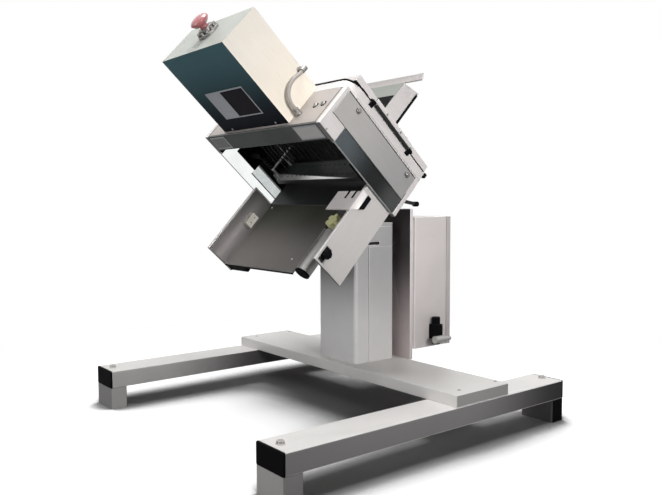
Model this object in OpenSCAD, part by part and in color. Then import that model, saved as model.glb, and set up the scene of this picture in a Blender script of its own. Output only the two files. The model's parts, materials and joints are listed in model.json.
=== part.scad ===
// Floor-standing needle injector: an H-shaped stand, a column, and a tilted head that
// drives a row of needles down on to a sloping bed. Millimetres, +Z up, front towards -Y.
// The head is drawn in its own frame: x across, y up the slope to the rear, z square to the bed,
// with its origin on the tilt pivot.

/* [Stand] */
// Length of each floor rail, front to back
rail_len = 686; // [640:1:760]
// Width of a rail tube
rail_w = 76; // [70:1:90]
// Height of a rail tube
rail_h = 37; // [34:1:45]
// Distance between the rail centres
rail_gap = 657; // [640:1:720]
// Height of the foot blocks
foot_h = 45; // [40:1:55]
// Length of a foot block along its rail
foot_len = 36; // [34:1:50]
// Depth of the crossbar that joins the rails
crossbar_d = 144; // [130:1:160]
// Thickness of the crossbar
crossbar_h = 22; // [18:1:26]
// Width of the column
column_w = 126; // [120:1:130]
// Depth of the column
column_d = 109; // [104:1:112]
// Column centre behind the middle of the rails
column_y = 97; // [80:1:110]
// Top of the column tube above the floor
column_top = 392; // [386:1:396]

/* [Control box] */
// Width of the control box
box_w = 218; // [210:1:230]
// Depth of the control box without its lid
box_d = 97; // [92:1:102]
// Height of the control box
box_h = 285; // [270:1:295]
// Underside of the control box above the floor
box_z = 127; // [122:1:135]
// Thickness of the hinged lid
lid_t = 12; // [11:1:14]

/* [Head] */
// Slope of the bed, in degrees
tilt = 47; // [40:1:50]
// Tilt pivot above the floor
pivot_z = 455; // [450:1:465]
// Tilt pivot behind the column centre
pivot_dy = 10; // [8:1:14]
// Half the width between the side frames
half_in = 196; // [194:1:200]
// Thickness of a side frame
frame_t = 10; // [8:1:12]
// Front of the head along the slope
head_front = -84; // [-88:1:-82]
// Rear of the head along the slope
head_rear = 30; // [28:1:32]
// Bed surface above the pivot
bed_z = 66; // [64:1:68]
// Top of the deck above the pivot
deck_z = 280; // [276:1:284]
// Height of the front bezel
bezel_h = 40; // [34:1:44]

/* [Drive] */
// Width of the drive housing
housing_w = 236; // [230:1:240]
// Depth of the drive housing
housing_d = 96; // [92:1:100]
// Height of the drive housing
housing_h = 190; // [184:1:200]
// Offset of the housing centre from the middle of the head
housing_x = -13; // [-16:1:-8]
// Stroke of the needles
stroke = 85; // [70:1:88]
// Number of needles in a row
needle_count = 15; // [9:2:15]
// Pitch of the needles in a row
needle_pitch = 16; // [14:1:16]
// Diameter of a needle
needle_d = 3; // [3:0.5:4]

/* [Tray] */
// Front edge of the outlet tray along the slope
tray_front = -262; // [-266:1:-258]
// Far edge of the tray
tray_x0 = -184; // [-186:1:-180]
// Near edge of the tray
tray_x1 = 71; // [60:1:76]
// Height of the tray wall above the bed
tray_wall = 52; // [40:1:54]

/* [Hidden] */
$fn = 64;
// Overlap that welds the solids of one piece, and the reach of a cut past a face
eps = 0.5;
over = 1;
// Radial running clearance of a shaft in its bore, and the gap under a turning knob
run = 0.05;
knob_gap = 0.4;

// Finishes
c_frame = [0.80, 0.79, 0.77];
c_steel = [0.72, 0.72, 0.70];
c_dark_steel = [0.30, 0.34, 0.33];
c_black = [0.05, 0.05, 0.05];
c_panel = [0.70, 0.70, 0.69];
c_bronze = [0.72, 0.53, 0.20];

// Rails, feet and their bolts
rail_x = rail_gap / 2;
bar_z = foot_h + rail_h;
rail_wall = 3;
corner_r = 3;
cap_t = 4;
cap_plug = 10;
bolt_inset = 20;
bolt_d = 8;
bolt_depth = 25;
bolt_hex = 13;
bolt_head_h = 4.5;
washer_d = 16;
washer_t = 1.5;

// Column, its duct and its pivot head
col_z = bar_z + crossbar_h;
column_shift = 2.5;
column_rear = column_shift + column_d / 2;
column_wall = 5;
column_r = 8;
duct_y = [-16, 16];
duct_z = [353.5, 360];
duct_recess = 3;
duct_cover_t = 3;
duct_cover_top = 350;
head_plate_t = 8;
cheek_x = 36;
cheek_t = 12;
cheek_r = 24;
lug_gap = 2;
pin_d = 20;
pin_end = [-66, 68];
pin_head_d = 30;
pin_head_t = 6;
spigot_d = 14;
spigot_len = 30;
bush_wall = 3;
bush_flange_d = 34;
bush_flange_t = 1.5;

// Rear plate and control box
rear_plate_t = 8;
rear_plate_w = 206;
rear_plate_top = 430;
spacer_t = 11;
spacer_half = 40;
spacer_h = 36;
spacer_z = [160, 330];
rear_plate_y = column_rear + spacer_t;
box_y = rear_plate_y + rear_plate_t;
box_wall = 2.5;
lid_gap = 1;
lid_y = box_y + box_d + lid_gap;

// Lid hinge at the far side of the control box, and the lid's lock
hinge_pin_d = 5;
knuckle_d = 11;
knuckle = 16;
knuckle_gap = 0.5;
hinge_off = 6.5;
hinge_arm = 16;
hinge_web = 4;
lid_axis_x = -box_w / 2 - hinge_off;
lid_hinge_z = [box_z + 50, box_z + box_h - 50];
lock_x = box_w / 2 - 22;
lock_z = box_z + box_h / 2;
lock_shaft_d = 10;
lock_disc_d = 24;
lock_disc_t = 5;
lock_wing = [6, 8, 22];
lock_cam = [20, 3, 8];
lock_cam_y = -9;

// Valve block inside the control box
valve_x = -70;
valve_w = 100;
valve_z = [240, 310];
valve_base_t = 18;
coil_count = 3;
coil_w = 24;
coil_pitch = 32;
coil_inset = 6;
coil_d = 34;
coil_z = [232, 318];

// Air regulator on the near side of the control box, and its coupler
reg_w = 24;
reg_d = 22;
reg_h = 32;
reg_r = 4;
reg_y = 129;
reg_z = 146;
bowl_d = 18;
bowl_h = 12;
neck_d = 10;
neck_h = 12;
reg_knob_d = 17;
reg_knob_h = 15;
grip_count = 12;
grip_d = 2.4;
coupler_out = 8.5;
coupler_y = 104;
coupler_z = 148;
coupler_d = [16, 13, 10];
coupler_len = [30, 3, 14];

// Tilt clamp lever on the end of the pivot pin
lever_x = 70;
lever_hub_d = 28;
lever_hub_len = 22;
lever_arm = 88;
lever_bar = 7;
lever_grip_d = 11;
lever_grip_len = 12;
lever_droop = 10;

// Head frame
bezel_t = 4;
bezel_return = 14;
bezel_fold = 3;
deck_t = 6;
frame_rear = 10;
frame_bottom = 34;
arch_r = 33;
base_z = 42;
base_t = 12;
half_out = half_in + frame_t;
wing_t = 6;
wing_top = 120;
wing_lap = 4;
bed_half = half_in - wing_t;
bed_rear = head_rear - 2;
panel_t = 3;
window_depth = 48;
window_z = [46, 230];
window_t = 5;
window_sink = 0.5;
window_slack = 0.3;
rebate = 3;
panel_y = [head_front + 34, head_front + 89];
far_panel_front = -34;
panel_z = [47, 272];
thumb_y = -7;
thumb_z = [69, 234];
thumb_d = 6;
thumb_head_d = 10;
thumb_head_t = 4;
thumb_cap_d = 7;
thumb_cap_t = 2;

// Air cylinder, guides and needle manifold
axis_y = -27;
rod_d = 18;
rod_hole_d = 24;
bore_d = 50;
barrel_d = 58;
cap_side = 66;
cap_r = 5;
cyl_cap = 14;
cyl_len = 122;
tie_d = 6;
tie_off = 27.5;
piston_t = 20;
piston_rest = 8;
piston_z = deck_z + cyl_cap + cyl_len - piston_rest - piston_t;
guide_x = 80;
guide_d = 16;
guide_top = 385;
bush_d = 24;
bush_drop = 18;
bush_rise = 5;
manifold_z = 222;
manifold_t = 22;
manifold_half = 125;
manifold_d = 62;
inlet_block = [20, 48, 12];
inlet_inset = 10;
tip_z = bed_z + 4 + stroke;
tip_len = 6;
tip_d = 0.6;
row_y = [axis_y - 14, axis_y + 14];
sheet = 2;
housing_y0 = -75;

// Stripper plate, its lifting bails, and its sprung posts
strip_z = 102;
strip_t = 10;
strip_half = 145;
strip_d = 54;
needle_slack = 1.2;
lug_d = 26;
bail_x = 134;
bail_d = 5;
bail_y = [-46, -6];
bail_rear = 26;
bail_top = 140;
post_x = 166;
post_d = 10;
post_top = 176;
collar_d = 20;
collar_h = 13.5;
collar_z = strip_z - 14;
spring_r = 8;
spring_wire = 2;
spring_turns = 7;
spring_gap = 0.5;
bracket_z = 168;
bracket_t = 14;
bracket_half = 14;
bracket_foot = [6, 54, 60];
bracket_foot_drop = 20;

// Emergency stop
estop_x = -9;
estop_y = -19;
estop_hole_d = 30;
estop_flange_d = 46;
estop_flange_t = 5;
estop_collar_h = 13;
estop_body_drop = 30;
switch_half = 17;
switch_drop = [36, 20];
stem_d = 16;
stem_drop = 20;
stem_bore_drop = 28;
button_z = 19;
button_r = 20;
button_foot_r = 13;
button_waist = [17, 4];
button_rim = 8;
button_dome = 9;

// Rear door, its hinge and its latch
gasket_t = 3;
gasket_squash = 0.4;
gasket_bottom = frame_bottom + 3;
gasket_hole_z = [58, deck_z - 12];
gasket_lip = 1.5;
gasket_lip_z = 236;
door_y = head_rear + gasket_t;
door_t = 14;
door_half = 205;
door_z = [36, 273];
door_axis_x = half_out + 4;
door_axis_y = head_rear + 1;
barrel_z = [101, 215];
door_barrel_d = 7;
door_pin_d = 4;
door_pin_reach = 13;
door_knuckle = 9;
door_knuckle_d = 7.6;
door_foot = 10;
leaf_out = 3;
leaf_web = [1.6, 3.4];
mouth_half = 124;
mouth_z = [147, 222];
latch_x = -188;
latch_z = 160;
latch_shaft_d = 10;
latch_disc_d = 28;
latch_disc_t = 6;
latch_wing = [8, 9, 28];

// Infeed chute
chute_half = 127;
chute_end = 184;
chute_drop = 43;
chute_toe = 12;
lip_half = 176;
lip_rise = [4, 6.5];

// Tray, its frame and its guides
tray_t = 3;
tray_rear = head_front - 2;
tray_bar = 16;
tray_bar_y = [-220, -145];
bar_end = bed_half - 2;
ear_t = 5;
ear_front = 9;
ear_rise = 8;
guide_rail_x = 102;
guide_rail_d = 31.4;
guide_rail_rear = -158;
groove_w = 9;
groove_depth = 4;
end_pad_t = 4;
pad_len = 72;
pad_size = [11, 17];
lock_slot_y = [tray_front + 5, tray_front + 36];
lock_slot_z = [99, 114];
lock_y = tray_front + 22;
lock_zc = 106.5;
lock_d = 10;
lock_shank_in = 12;
lock_knob_d = 14;
lock_knob_t = 10;
lock_rib_count = 8;
lock_rib_d = 3.4;
guide_block = [15, 30, 18];
guide_block_y = -166.5;
guide_block_rise = 12.5;
guide_hole_y = [8, 22];
guide_hole_d = 6;
guide_hole_depth = 4;

// Clamp knob behind the guide rail
clamp_x = 101;
clamp_y = -137;
clamp_stud_d = 8;
clamp_stud_drop = 15;
clamp_boss_d = 16;
clamp_boss_t = 6;
clamp_hub_r = 10.5;
clamp_lobes = 5;
clamp_lobe_r = 5.8;
clamp_lobe_off = 10;
clamp_t = 13;
clamp_rise = 3;

// Notched bracket that sits astride the top of the near wing, and its grip
bracket_x0 = 128;
bracket_y = [-146, -100];
bracket_sheet = 2.5;
bracket_slack = 0.5;
bracket_lift = 0.3;
bracket_drop = 30;
bracket_top = wing_top + bracket_lift + bracket_sheet;
leg_y = [-123, -97];
leg_z = 97;
grip_z = 107;
grip_t = 1.5;
notch_x = [160, 180];
notch_w = 6;
notch_front = -118;

// Air hose between the housing and the deck, in the head's frame
hose_d = 7;
hose_sides = 10;
hose_hole_d = 10;
hose_route = [
  [118, 9, 330], [118, 1, 330], [118, -12, 332], [118, -24, 331.5], [118, -35, 328],
  [118, -44, 322], [118, -50, 313], [118, -53, 303], [118, -53, 293]
];
elbow_y = 14.4;
elbow_d = 11;
elbow_len = 11;
elbow_flange_d = 13;
elbow_flange_t = 3;
stub_d = 13;
stub_t = 4;

// Common shapes

module round_rect(w, h, r) {
  square([w - 2 * r, h], center = true);
  square([w, h - 2 * r], center = true);
  for (x = [-1, 1], y = [-1, 1]) translate([x * (w / 2 - r), y * (h / 2 - r)]) circle(r);
}

// Box from one corner to the opposite one
module block(a, b) translate(a) cube(b - a);

// Upright outline with round top corners
module arch_outline(half, bottom, top, r) {
  translate([-half, bottom]) square([2 * half, top - r - bottom]);
  translate([r - half, bottom]) square([2 * (half - r), top - bottom]);
  for (s = [-1, 1]) translate([s * (half - r), top - r]) circle(r);
}

// Cylinder along +X, +Y or +Z from a start point
module rod_x(p, d, l) translate(p) rotate([0, 90, 0]) cylinder(d = d, h = l);
module rod_y(p, d, l) translate(p) rotate([-90, 0, 0]) cylinder(d = d, h = l);
module rod_z(p, d, l) translate(p) cylinder(d = d, h = l);

module both_sides() for (s = [0, 1]) mirror([s, 0, 0]) children();
module at_column() translate([0, column_y, 0]) children();
module at_box_side() at_column() translate([box_w / 2 + reg_w / 2, 0, 0]) children();
module in_head() translate([0, column_y + pivot_dy, pivot_z]) rotate([tilt, 0, 0]) children();
module at_estop() in_head() translate([estop_x, estop_y, deck_z + housing_h]) children();
module at_needles() for (y = row_y, i = [0:needle_count - 1])
  translate([(i - (needle_count - 1) / 2) * needle_pitch, y, 0]) children();

// Tube swept along a list of points in a plane of constant x
function unit(a) = a / norm(a);
function heading(p, i) = unit(p[min(i + 1, len(p) - 1)] - p[max(i - 1, 0)]);
function ring(p, i, r, n) =
  let (t = heading(p, i), s = [1, 0, 0], q = cross(t, s))
  [for (k = [0:n - 1]) p[i] + r * (cos(360 * k / n) * s + sin(360 * k / n) * q)];
module tube(p, d, n) {
  rings = len(p);
  points = [for (i = [0:rings - 1]) each ring(p, i, d / 2, n)];
  sides = [for (i = [0:rings - 2], k = [0:n - 1])
    let (a = i * n + k, b = i * n + (k + 1) % n) [a, b, b + n, a + n]];
  ends = [[for (k = [n - 1:-1:0]) k], [for (k = [0:n - 1]) (rings - 1) * n + k]];
  polyhedron(points, concat(sides, ends), convexity = 4);
}

// Round-wire compression spring standing on z = 0
module coil(r, wire, height, turns) {
  steps = 14;
  n = 6;
  total = turns * steps;
  rise = (height - wire) / total;
  points = [for (i = [0:total], k = [0:n - 1])
    let (a = 360 * i / steps, c = 360 * k / n, rr = r + wire / 2 * cos(c))
    [rr * cos(a), rr * sin(a), wire / 2 + rise * i + wire / 2 * sin(c)]];
  sides = [for (i = [0:total - 1], k = [0:n - 1])
    let (a = i * n + k, b = i * n + (k + 1) % n) [a, a + n, b + n, b]];
  ends = [[for (k = [0:n - 1]) k], [for (k = [n - 1:-1:0]) total * n + k]];
  polyhedron(points, concat(sides, ends), convexity = 8);
}

// Stand

module at_bolts(side) for (y = [-1, 1])
  translate([side * rail_x, y * (rail_len / 2 - bolt_inset), 0]) children();

module rail(side) color(c_frame) difference() {
  translate([side * rail_x, rail_len / 2 - cap_t, foot_h + rail_h / 2]) rotate([90, 0, 0])
    linear_extrude(rail_len - 2 * cap_t) difference() {
      round_rect(rail_w, rail_h, corner_r);
      square([rail_w - 2 * rail_wall, rail_h - 2 * rail_wall], center = true);
    }
  at_bolts(side) rod_z([0, 0, foot_h - over], bolt_d + 2 * run, rail_h + 2 * over);
}

module left_rail() rail(-1);
module right_rail() rail(1);

module rail_end_caps() color(c_black)
  for (x = [-1, 1], turn = [0, 180]) translate([x * rail_x, 0, foot_h + rail_h / 2])
    rotate([90, 0, turn]) translate([0, 0, rail_len / 2 - cap_t]) {
      linear_extrude(cap_t) round_rect(rail_w, rail_h, corner_r);
      translate([0, 0, -cap_plug]) linear_extrude(cap_plug + eps)
        square([rail_w - 2 * rail_wall, rail_h - 2 * rail_wall], center = true);
    }

module foot_blocks() color(c_frame) for (x = [-1, 1]) difference() {
  for (y = [-1, 1]) translate([x * rail_x, y * (rail_len - foot_len) / 2, 0])
    linear_extrude(foot_h) round_rect(rail_w, foot_len, corner_r);
  at_bolts(x) rod_z([0, 0, foot_h - bolt_depth], bolt_d + 2 * run, bolt_depth + over);
}

module foot_bolts() color(c_steel) for (x = [-1, 1]) at_bolts(x) {
  rod_z([0, 0, foot_h - bolt_depth], bolt_d, rail_h + bolt_depth);
  rod_z([0, 0, bar_z], washer_d, washer_t);
  translate([0, 0, bar_z + washer_t]) cylinder(d = bolt_hex, h = bolt_head_h, $fn = 6);
}

module crossbar() color(c_frame) at_column()
  translate([0, 0, bar_z]) linear_extrude(crossbar_h)
    round_rect(rail_gap + rail_w, crossbar_d, corner_r);

module column() color(c_frame) at_column() difference() {
  translate([0, column_shift, col_z]) linear_extrude(column_top - col_z) difference() {
    round_rect(column_w, column_d, column_r);
    square([column_w - 2 * column_wall - column_r, column_d - 2 * column_wall], center = true);
    square([column_w - 2 * column_wall, column_d - 2 * column_wall - column_r], center = true);
  }
  block([column_w / 2 - duct_recess, duct_y[0], duct_z[0]], [column_w / 2 + over, duct_y[1], duct_z[1]]);
}

module column_duct_cover() color(c_panel) at_column()
  block([column_w / 2, duct_y[0], col_z],
        [column_w / 2 + duct_cover_t, column_rear - column_r, duct_cover_top]);

module column_head() color(c_frame) at_column() difference() {
  union() {
    translate([0, column_shift, column_top]) linear_extrude(head_plate_t)
      round_rect(column_w, column_d, column_r);
    both_sides() {
      block([cheek_x, pivot_dy - cheek_r, column_top + head_plate_t - eps],
            [cheek_x + cheek_t, pivot_dy + cheek_r, pivot_z]);
      rod_x([cheek_x, pivot_dy, pivot_z], 2 * cheek_r, cheek_t);
    }
  }
  rod_x([-column_w, pivot_dy, pivot_z], pin_d, 2 * column_w);
}

module pivot_pin() color(c_steel) at_column() translate([0, pivot_dy, pivot_z]) {
  rod_x([pin_end[0], 0, 0], pin_d, pin_end[1] - pin_end[0]);
  rod_x([pin_end[0] - pin_head_t, 0, 0], pin_head_d, pin_head_t);
  rod_x([pin_end[1], 0, 0], spigot_d, spigot_len);
}

module rear_plate() color(c_steel) at_column() {
  block([-rear_plate_w / 2, rear_plate_y, col_z],
        [rear_plate_w / 2, rear_plate_y + rear_plate_t, rear_plate_top]);
  for (z = spacer_z)
    block([-spacer_half, column_rear, z], [spacer_half, rear_plate_y + eps, z + spacer_h]);
}

// Shell of the control box, with the fixed knuckles and hinge pins at its far side
module control_box() color(c_frame) at_column() {
  difference() {
    block([-box_w / 2, box_y, box_z], [box_w / 2, box_y + box_d, box_z + box_h]);
    block([-box_w / 2 + box_wall, box_y + box_wall, box_z + box_wall],
          [box_w / 2 - box_wall, box_y + box_d + over, box_z + box_h - box_wall]);
  }
  for (z = lid_hinge_z) translate([lid_axis_x, lid_y, z - 1.5 * knuckle]) {
    rod_z([0, 0, 0], knuckle_d, knuckle - knuckle_gap);
    rod_z([0, 0, 0], hinge_pin_d, 2 * knuckle);
    block([-hinge_web / 2, -hinge_arm, 0], [hinge_web / 2, 0, knuckle - knuckle_gap]);
    block([-hinge_web / 2, -hinge_arm, 0], [hinge_off + eps, -hinge_arm / 2, knuckle - knuckle_gap]);
  }
}

module valve_manifold() color(c_panel) at_column() {
  y0 = box_y + box_wall;
  block([valve_x, y0, valve_z[0]], [valve_x + valve_w, y0 + valve_base_t, valve_z[1]]);
  for (i = [0:coil_count - 1]) translate([valve_x + coil_inset + i * coil_pitch, y0 + valve_base_t, 0])
    block([0, -eps, coil_z[0]], [coil_w, coil_d, coil_z[1]]);
}

module air_regulator() color(c_black) at_box_side() translate([0, reg_y, reg_z]) {
  linear_extrude(reg_h) round_rect(reg_w, reg_d, reg_r);
  rod_z([0, 0, -bowl_h], bowl_d, bowl_h + eps);
  rod_z([0, 0, reg_h - eps], neck_d, neck_h + eps);
}

module air_coupler() color(c_steel) at_box_side() translate([reg_w / 2, 0, coupler_z]) {
  rod_x([0, reg_y, 0], coupler_d[2], coupler_out);
  translate([coupler_out, coupler_y, 0]) {
    rod_y([0, 0, 0], coupler_d[0], coupler_len[0]);
    rod_y([0, coupler_len[0], 0], coupler_d[1], coupler_len[1]);
    rod_y([0, coupler_len[0] + coupler_len[1], 0], coupler_d[2], coupler_len[2]);
  }
}

module tilt_lever() color(c_black) at_column() translate([lever_x, pivot_dy, pivot_z])
  rotate([-lever_droop, 0, 0]) difference() {
    union() {
      rod_x([0, 0, 0], lever_hub_d, lever_hub_len);
      block([lever_hub_len - lever_bar, 0, -lever_bar / 2], [lever_hub_len, lever_arm, lever_bar / 2]);
      rod_x([lever_hub_len - lever_bar - 2, lever_arm, 0], lever_grip_d, lever_grip_len);
    }
    rod_x([-over, 0, 0], spigot_d + 2 * run, lever_hub_len + 2 * over);
  }

module control_box_lid() color(c_frame) at_column() {
  difference() {
    block([-box_w / 2, lid_y, box_z], [box_w / 2, lid_y + lid_t, box_z + box_h]);
    block([-box_w / 2 + box_wall, lid_y - over, box_z + box_wall],
          [box_w / 2 - box_wall, lid_y + lid_t - box_wall, box_z + box_h - box_wall]);
    rod_y([lock_x, lid_y, lock_z], lock_shaft_d + 2 * run, lid_t + over);
    for (z = lid_hinge_z)
      rod_z([lid_axis_x, lid_y, z - 1.5 * knuckle - 2], knuckle_d + 2 * eps, 2.5 * knuckle);
  }
  for (z = lid_hinge_z) translate([lid_axis_x, lid_y, z - 0.5 * knuckle]) difference() {
    union() {
      rod_z([0, 0, 0], knuckle_d, knuckle);
      block([0, 2, 0], [hinge_off + eps, 7, knuckle]);
    }
    rod_z([0, 0, -over], hinge_pin_d + 2 * run, knuckle + 2 * over);
  }
}

module lid_lock() color(c_black) at_column() translate([lock_x, lid_y + lid_t, lock_z]) {
  rod_y([0, lock_cam_y + 2, 0], lock_shaft_d, -lock_cam_y);
  rod_y([0, knob_gap, 0], lock_disc_d, lock_disc_t);
  translate([-lock_wing[0] / 2, lock_disc_t, -lock_wing[2] / 2]) cube(lock_wing);
  translate([-4, lock_cam_y, -lock_cam[2] / 2]) cube(lock_cam);
}

module regulator_knob() color(c_black) at_box_side()
  translate([0, reg_y, reg_z + reg_h + knob_gap]) difference() {
    union() {
      cylinder(d = reg_knob_d, h = reg_knob_h);
      for (i = [0:grip_count - 1]) rotate(360 / grip_count * i) translate([reg_knob_d / 2 - 0.5, 0, 0])
        cylinder(d = grip_d, h = reg_knob_h - 2);
    }
    rod_z([0, 0, -over], neck_d + 2 * run, neck_h + over);
  }

// Head structure

module head_base() color(c_steel) in_head() difference() {
  union() {
    block([-bed_half, head_front, base_z], [bed_half, bed_rear, base_z + base_t]);
    both_sides() translate([cheek_x + cheek_t + lug_gap, 0, 0]) {
      block([0, -cheek_r, 0], [cheek_t, cheek_r, base_z + eps]);
      rod_x([0, 0, 0], 2 * cheek_r, cheek_t);
    }
  }
  rod_x([-bed_half, 0, 0], pin_d + 2 * bush_wall, 2 * bed_half);
}

module pivot_bushes() color(c_bronze) in_head() both_sides()
  translate([cheek_x + cheek_t + lug_gap, 0, 0]) difference() {
    union() {
      rod_x([0, 0, 0], pin_d + 2 * bush_wall, cheek_t);
      rod_x([-bush_flange_t, 0, 0], bush_flange_d, bush_flange_t);
    }
    rod_x([-lug_gap, 0, 0], pin_d + 2 * run, cheek_t + 2 * lug_gap);
  }

module bed_plate() color(c_steel) in_head()
  block([-bed_half, head_front, base_z + base_t], [bed_half, bed_rear, bed_z]);

// Side plate whose open front corner is filled by a clear guard let into a rebate
module side_frame() color(c_frame) in_head() difference() {
  window_rear = head_front + window_depth;
  block([half_in, head_front, frame_bottom], [half_out, frame_rear, deck_z]);
  block([half_in - over, head_front - over, window_z[0]], [half_out + over, window_rear, window_z[1]]);
  block([half_out - window_t - window_sink, head_front - over, window_z[0] - rebate],
        [half_out + over, window_rear + rebate, window_z[1] + rebate]);
  for (z = thumb_z) rod_x([half_in - over, thumb_y, z], thumb_d + 2 * run, frame_t + 2 * over);
}

module left_side_frame() mirror([1, 0, 0]) side_frame();
module right_side_frame() side_frame();

// Round-cornered arch behind the side plates, which the rear door closes on
module rear_arch() color(c_frame) in_head() translate([0, head_rear, 0]) rotate([90, 0, 0])
  linear_extrude(head_rear - frame_rear) difference() {
    arch_outline(half_out, frame_bottom, deck_z, arch_r);
    arch_outline(half_in, frame_bottom - over, deck_z - frame_t, arch_r - frame_t);
  }

module side_panel(front) difference() {
  block([half_out, front, panel_z[0]], [half_out + panel_t, panel_y[1], panel_z[1]]);
  for (z = thumb_z) rod_x([half_out - over, thumb_y, z], thumb_d + 2 * run, panel_t + 2 * over);
}

module side_panels() color(c_panel) in_head() {
  side_panel(panel_y[0]);
  mirror([1, 0, 0]) side_panel(far_panel_front);
}

module side_thumbscrews() color(c_steel) in_head() both_sides()
  for (z = thumb_z) translate([half_out + panel_t, thumb_y, z]) {
    rod_x([-frame_t, 0, 0], thumb_d, frame_t + eps);
    rod_x([0, 0, 0], thumb_head_d, thumb_head_t);
    rod_x([thumb_head_t - eps, 0, 0], thumb_cap_d, thumb_cap_t + eps);
  }

module side_windows() color([0.55, 0.62, 0.62, 0.4]) in_head() both_sides()
  block([half_out - window_t - window_sink, head_front, window_z[0] - rebate + window_slack],
        [half_out - window_sink, head_front + window_depth + rebate - window_slack,
         window_z[1] + rebate - window_slack]);

// Side wing of the outlet: the slot lets the tray lock shift
module tray_wing(slotted) in_head() difference() {
  union() {
    block([bed_half, tray_front + 1, base_z], [half_in, head_front + wing_lap, wing_top]);
    block([bed_half, head_front + wing_lap - eps, base_z], [half_in, bed_rear - 2, base_z + base_t]);
  }
  if (slotted)
    block([bed_half - over, lock_slot_y[0], lock_slot_z[0]],
          [half_in + over, lock_slot_y[1], lock_slot_z[1]]);
}

module left_tray_cheek() color(c_frame) mirror([1, 0, 0]) tray_wing(false);
module right_tray_cheek() color(c_frame) tray_wing(true);

module deck() color(c_steel) in_head() difference() {
  hose_end = hose_route[len(hose_route) - 1];
  depth = deck_t + 2 * over;
  block([-half_in, head_front + bezel_t, deck_z - deck_t], [half_in, frame_rear, deck_z]);
  translate([0, 0, deck_z - deck_t - over]) {
    rod_z([0, axis_y, 0], rod_hole_d, depth);
    for (s = [-1, 1]) rod_z([s * guide_x, axis_y, 0], bush_d, depth);
    rod_z([hose_end[0], hose_end[1], 0], hose_hole_d + 2 * run, depth);
  }
}

module front_bezel() color(c_dark_steel) in_head() {
  z0 = deck_z - bezel_h;
  block([-half_in, head_front, z0], [half_in, head_front + bezel_t, deck_z]);
  block([-half_in, head_front + bezel_t - eps, z0], [half_in, head_front + bezel_return, z0 + bezel_fold]);
}

// Seal between the arch and the door, with a lip round the arch's top corners
module rear_gasket() color(c_black) in_head() {
  thick = gasket_t - gasket_squash;
  translate([0, head_rear + thick, 0]) rotate([90, 0, 0]) linear_extrude(thick) difference() {
    union() {
      arch_outline(half_out - eps, gasket_bottom, deck_z, arch_r);
      arch_outline(half_out + gasket_lip, gasket_lip_z, deck_z + gasket_lip, arch_r + gasket_lip);
    }
    arch_outline(half_in, gasket_hole_z[0], gasket_hole_z[1], arch_r - frame_t);
  }
}

module door_hinge_pin() color(c_black) in_head() translate([door_axis_x, door_axis_y, 0]) {
  rod_z([0, 0, barrel_z[0] - door_pin_reach], door_pin_d,
        barrel_z[1] - barrel_z[0] + 2 * door_pin_reach);
  for (z = [barrel_z[0] - door_knuckle - knuckle_gap, barrel_z[1] + knuckle_gap]) {
    rod_z([0, 0, z], door_knuckle_d, door_knuckle);
    block([half_out - door_axis_x, -door_foot, z], [0, 0, z + door_knuckle]);
  }
}

// Drive

module drive_housing() color([0.86, 0.84, 0.78]) in_head() translate([housing_x, housing_y0, deck_z])
  difference() {
    block([-housing_w / 2, 0, 0], [housing_w / 2, housing_d, housing_h]);
    block([-housing_w / 2 + sheet, sheet, -over],
          [housing_w / 2 - sheet, housing_d - sheet, housing_h - sheet]);
    rod_z([estop_x - housing_x, estop_y - housing_y0, housing_h - sheet - over], estop_hole_d + 2 * run,
          sheet + 2 * over);
    rod_x([housing_w / 2 - sheet - over, elbow_y - housing_y0, hose_route[0][2] - deck_z],
          hose_hole_d + 2 * run, sheet + 2 * over);
  }

module cylinder_barrel() color(c_steel) in_head() difference() {
  rod_z([0, axis_y, deck_z + cyl_cap], barrel_d, cyl_len);
  rod_z([0, axis_y, deck_z + cyl_cap - over], bore_d, cyl_len + 2 * over);
}

module cylinder_caps() color(c_dark_steel) in_head() translate([0, axis_y, deck_z]) {
  difference() {
    linear_extrude(cyl_cap) round_rect(cap_side, cap_side, cap_r);
    rod_z([0, 0, -over], rod_d + 2 * run, cyl_cap + 2 * over);
  }
  translate([0, 0, cyl_cap + cyl_len]) linear_extrude(cyl_cap) round_rect(cap_side, cap_side, cap_r);
  for (x = [-1, 1], y = [-1, 1])
    rod_z([x * tie_off, y * tie_off, cyl_cap - eps], tie_d, cyl_len + 2 * eps);
}

module guide_bushes() color(c_bronze) in_head()
  for (s = [-1, 1]) translate([s * guide_x, axis_y, deck_z]) difference() {
    union() {
      rod_z([0, 0, -bush_drop], bush_d, bush_drop + eps);
      rod_z([0, 0, 0], bush_flange_d, bush_rise);
    }
    rod_z([0, 0, -bush_drop - over], guide_d + 2 * run, bush_drop + bush_rise + 2 * over);
  }

module air_hose() color("gray") in_head() tube(hose_route, hose_d, hose_sides);

module hose_fittings() color(c_steel) in_head() {
  start = hose_route[0];
  finish = hose_route[len(hose_route) - 1];
  wall_x = housing_x + housing_w / 2;
  rod_x([wall_x - sheet - elbow_flange_t, elbow_y, start[2]], hose_hole_d,
        start[0] - wall_x + sheet + elbow_flange_t);
  rod_x([wall_x, elbow_y, start[2]], elbow_flange_d, elbow_flange_t);
  rod_y(start, elbow_d, elbow_len);
  rod_z([finish[0], finish[1], deck_z - deck_t - 2], hose_hole_d, deck_t + 4);
  rod_z([finish[0], finish[1], deck_z], stub_d, stub_t);
  rod_z([finish[0], finish[1], deck_z + stub_t - eps], elbow_d, finish[2] - deck_z - stub_t + eps);
}

module estop_base() color(c_black) at_estop() difference() {
  union() {
    rod_z([0, 0, 0], estop_flange_d, estop_flange_t);
    rod_z([0, 0, -estop_body_drop], estop_hole_d, estop_body_drop + estop_collar_h);
    block([-switch_half, -switch_half, -switch_drop[0]], [switch_half, switch_half, -switch_drop[1]]);
  }
  rod_z([0, 0, -stem_bore_drop], stem_d + 2 * run, stem_bore_drop + estop_collar_h + over);
}

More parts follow.
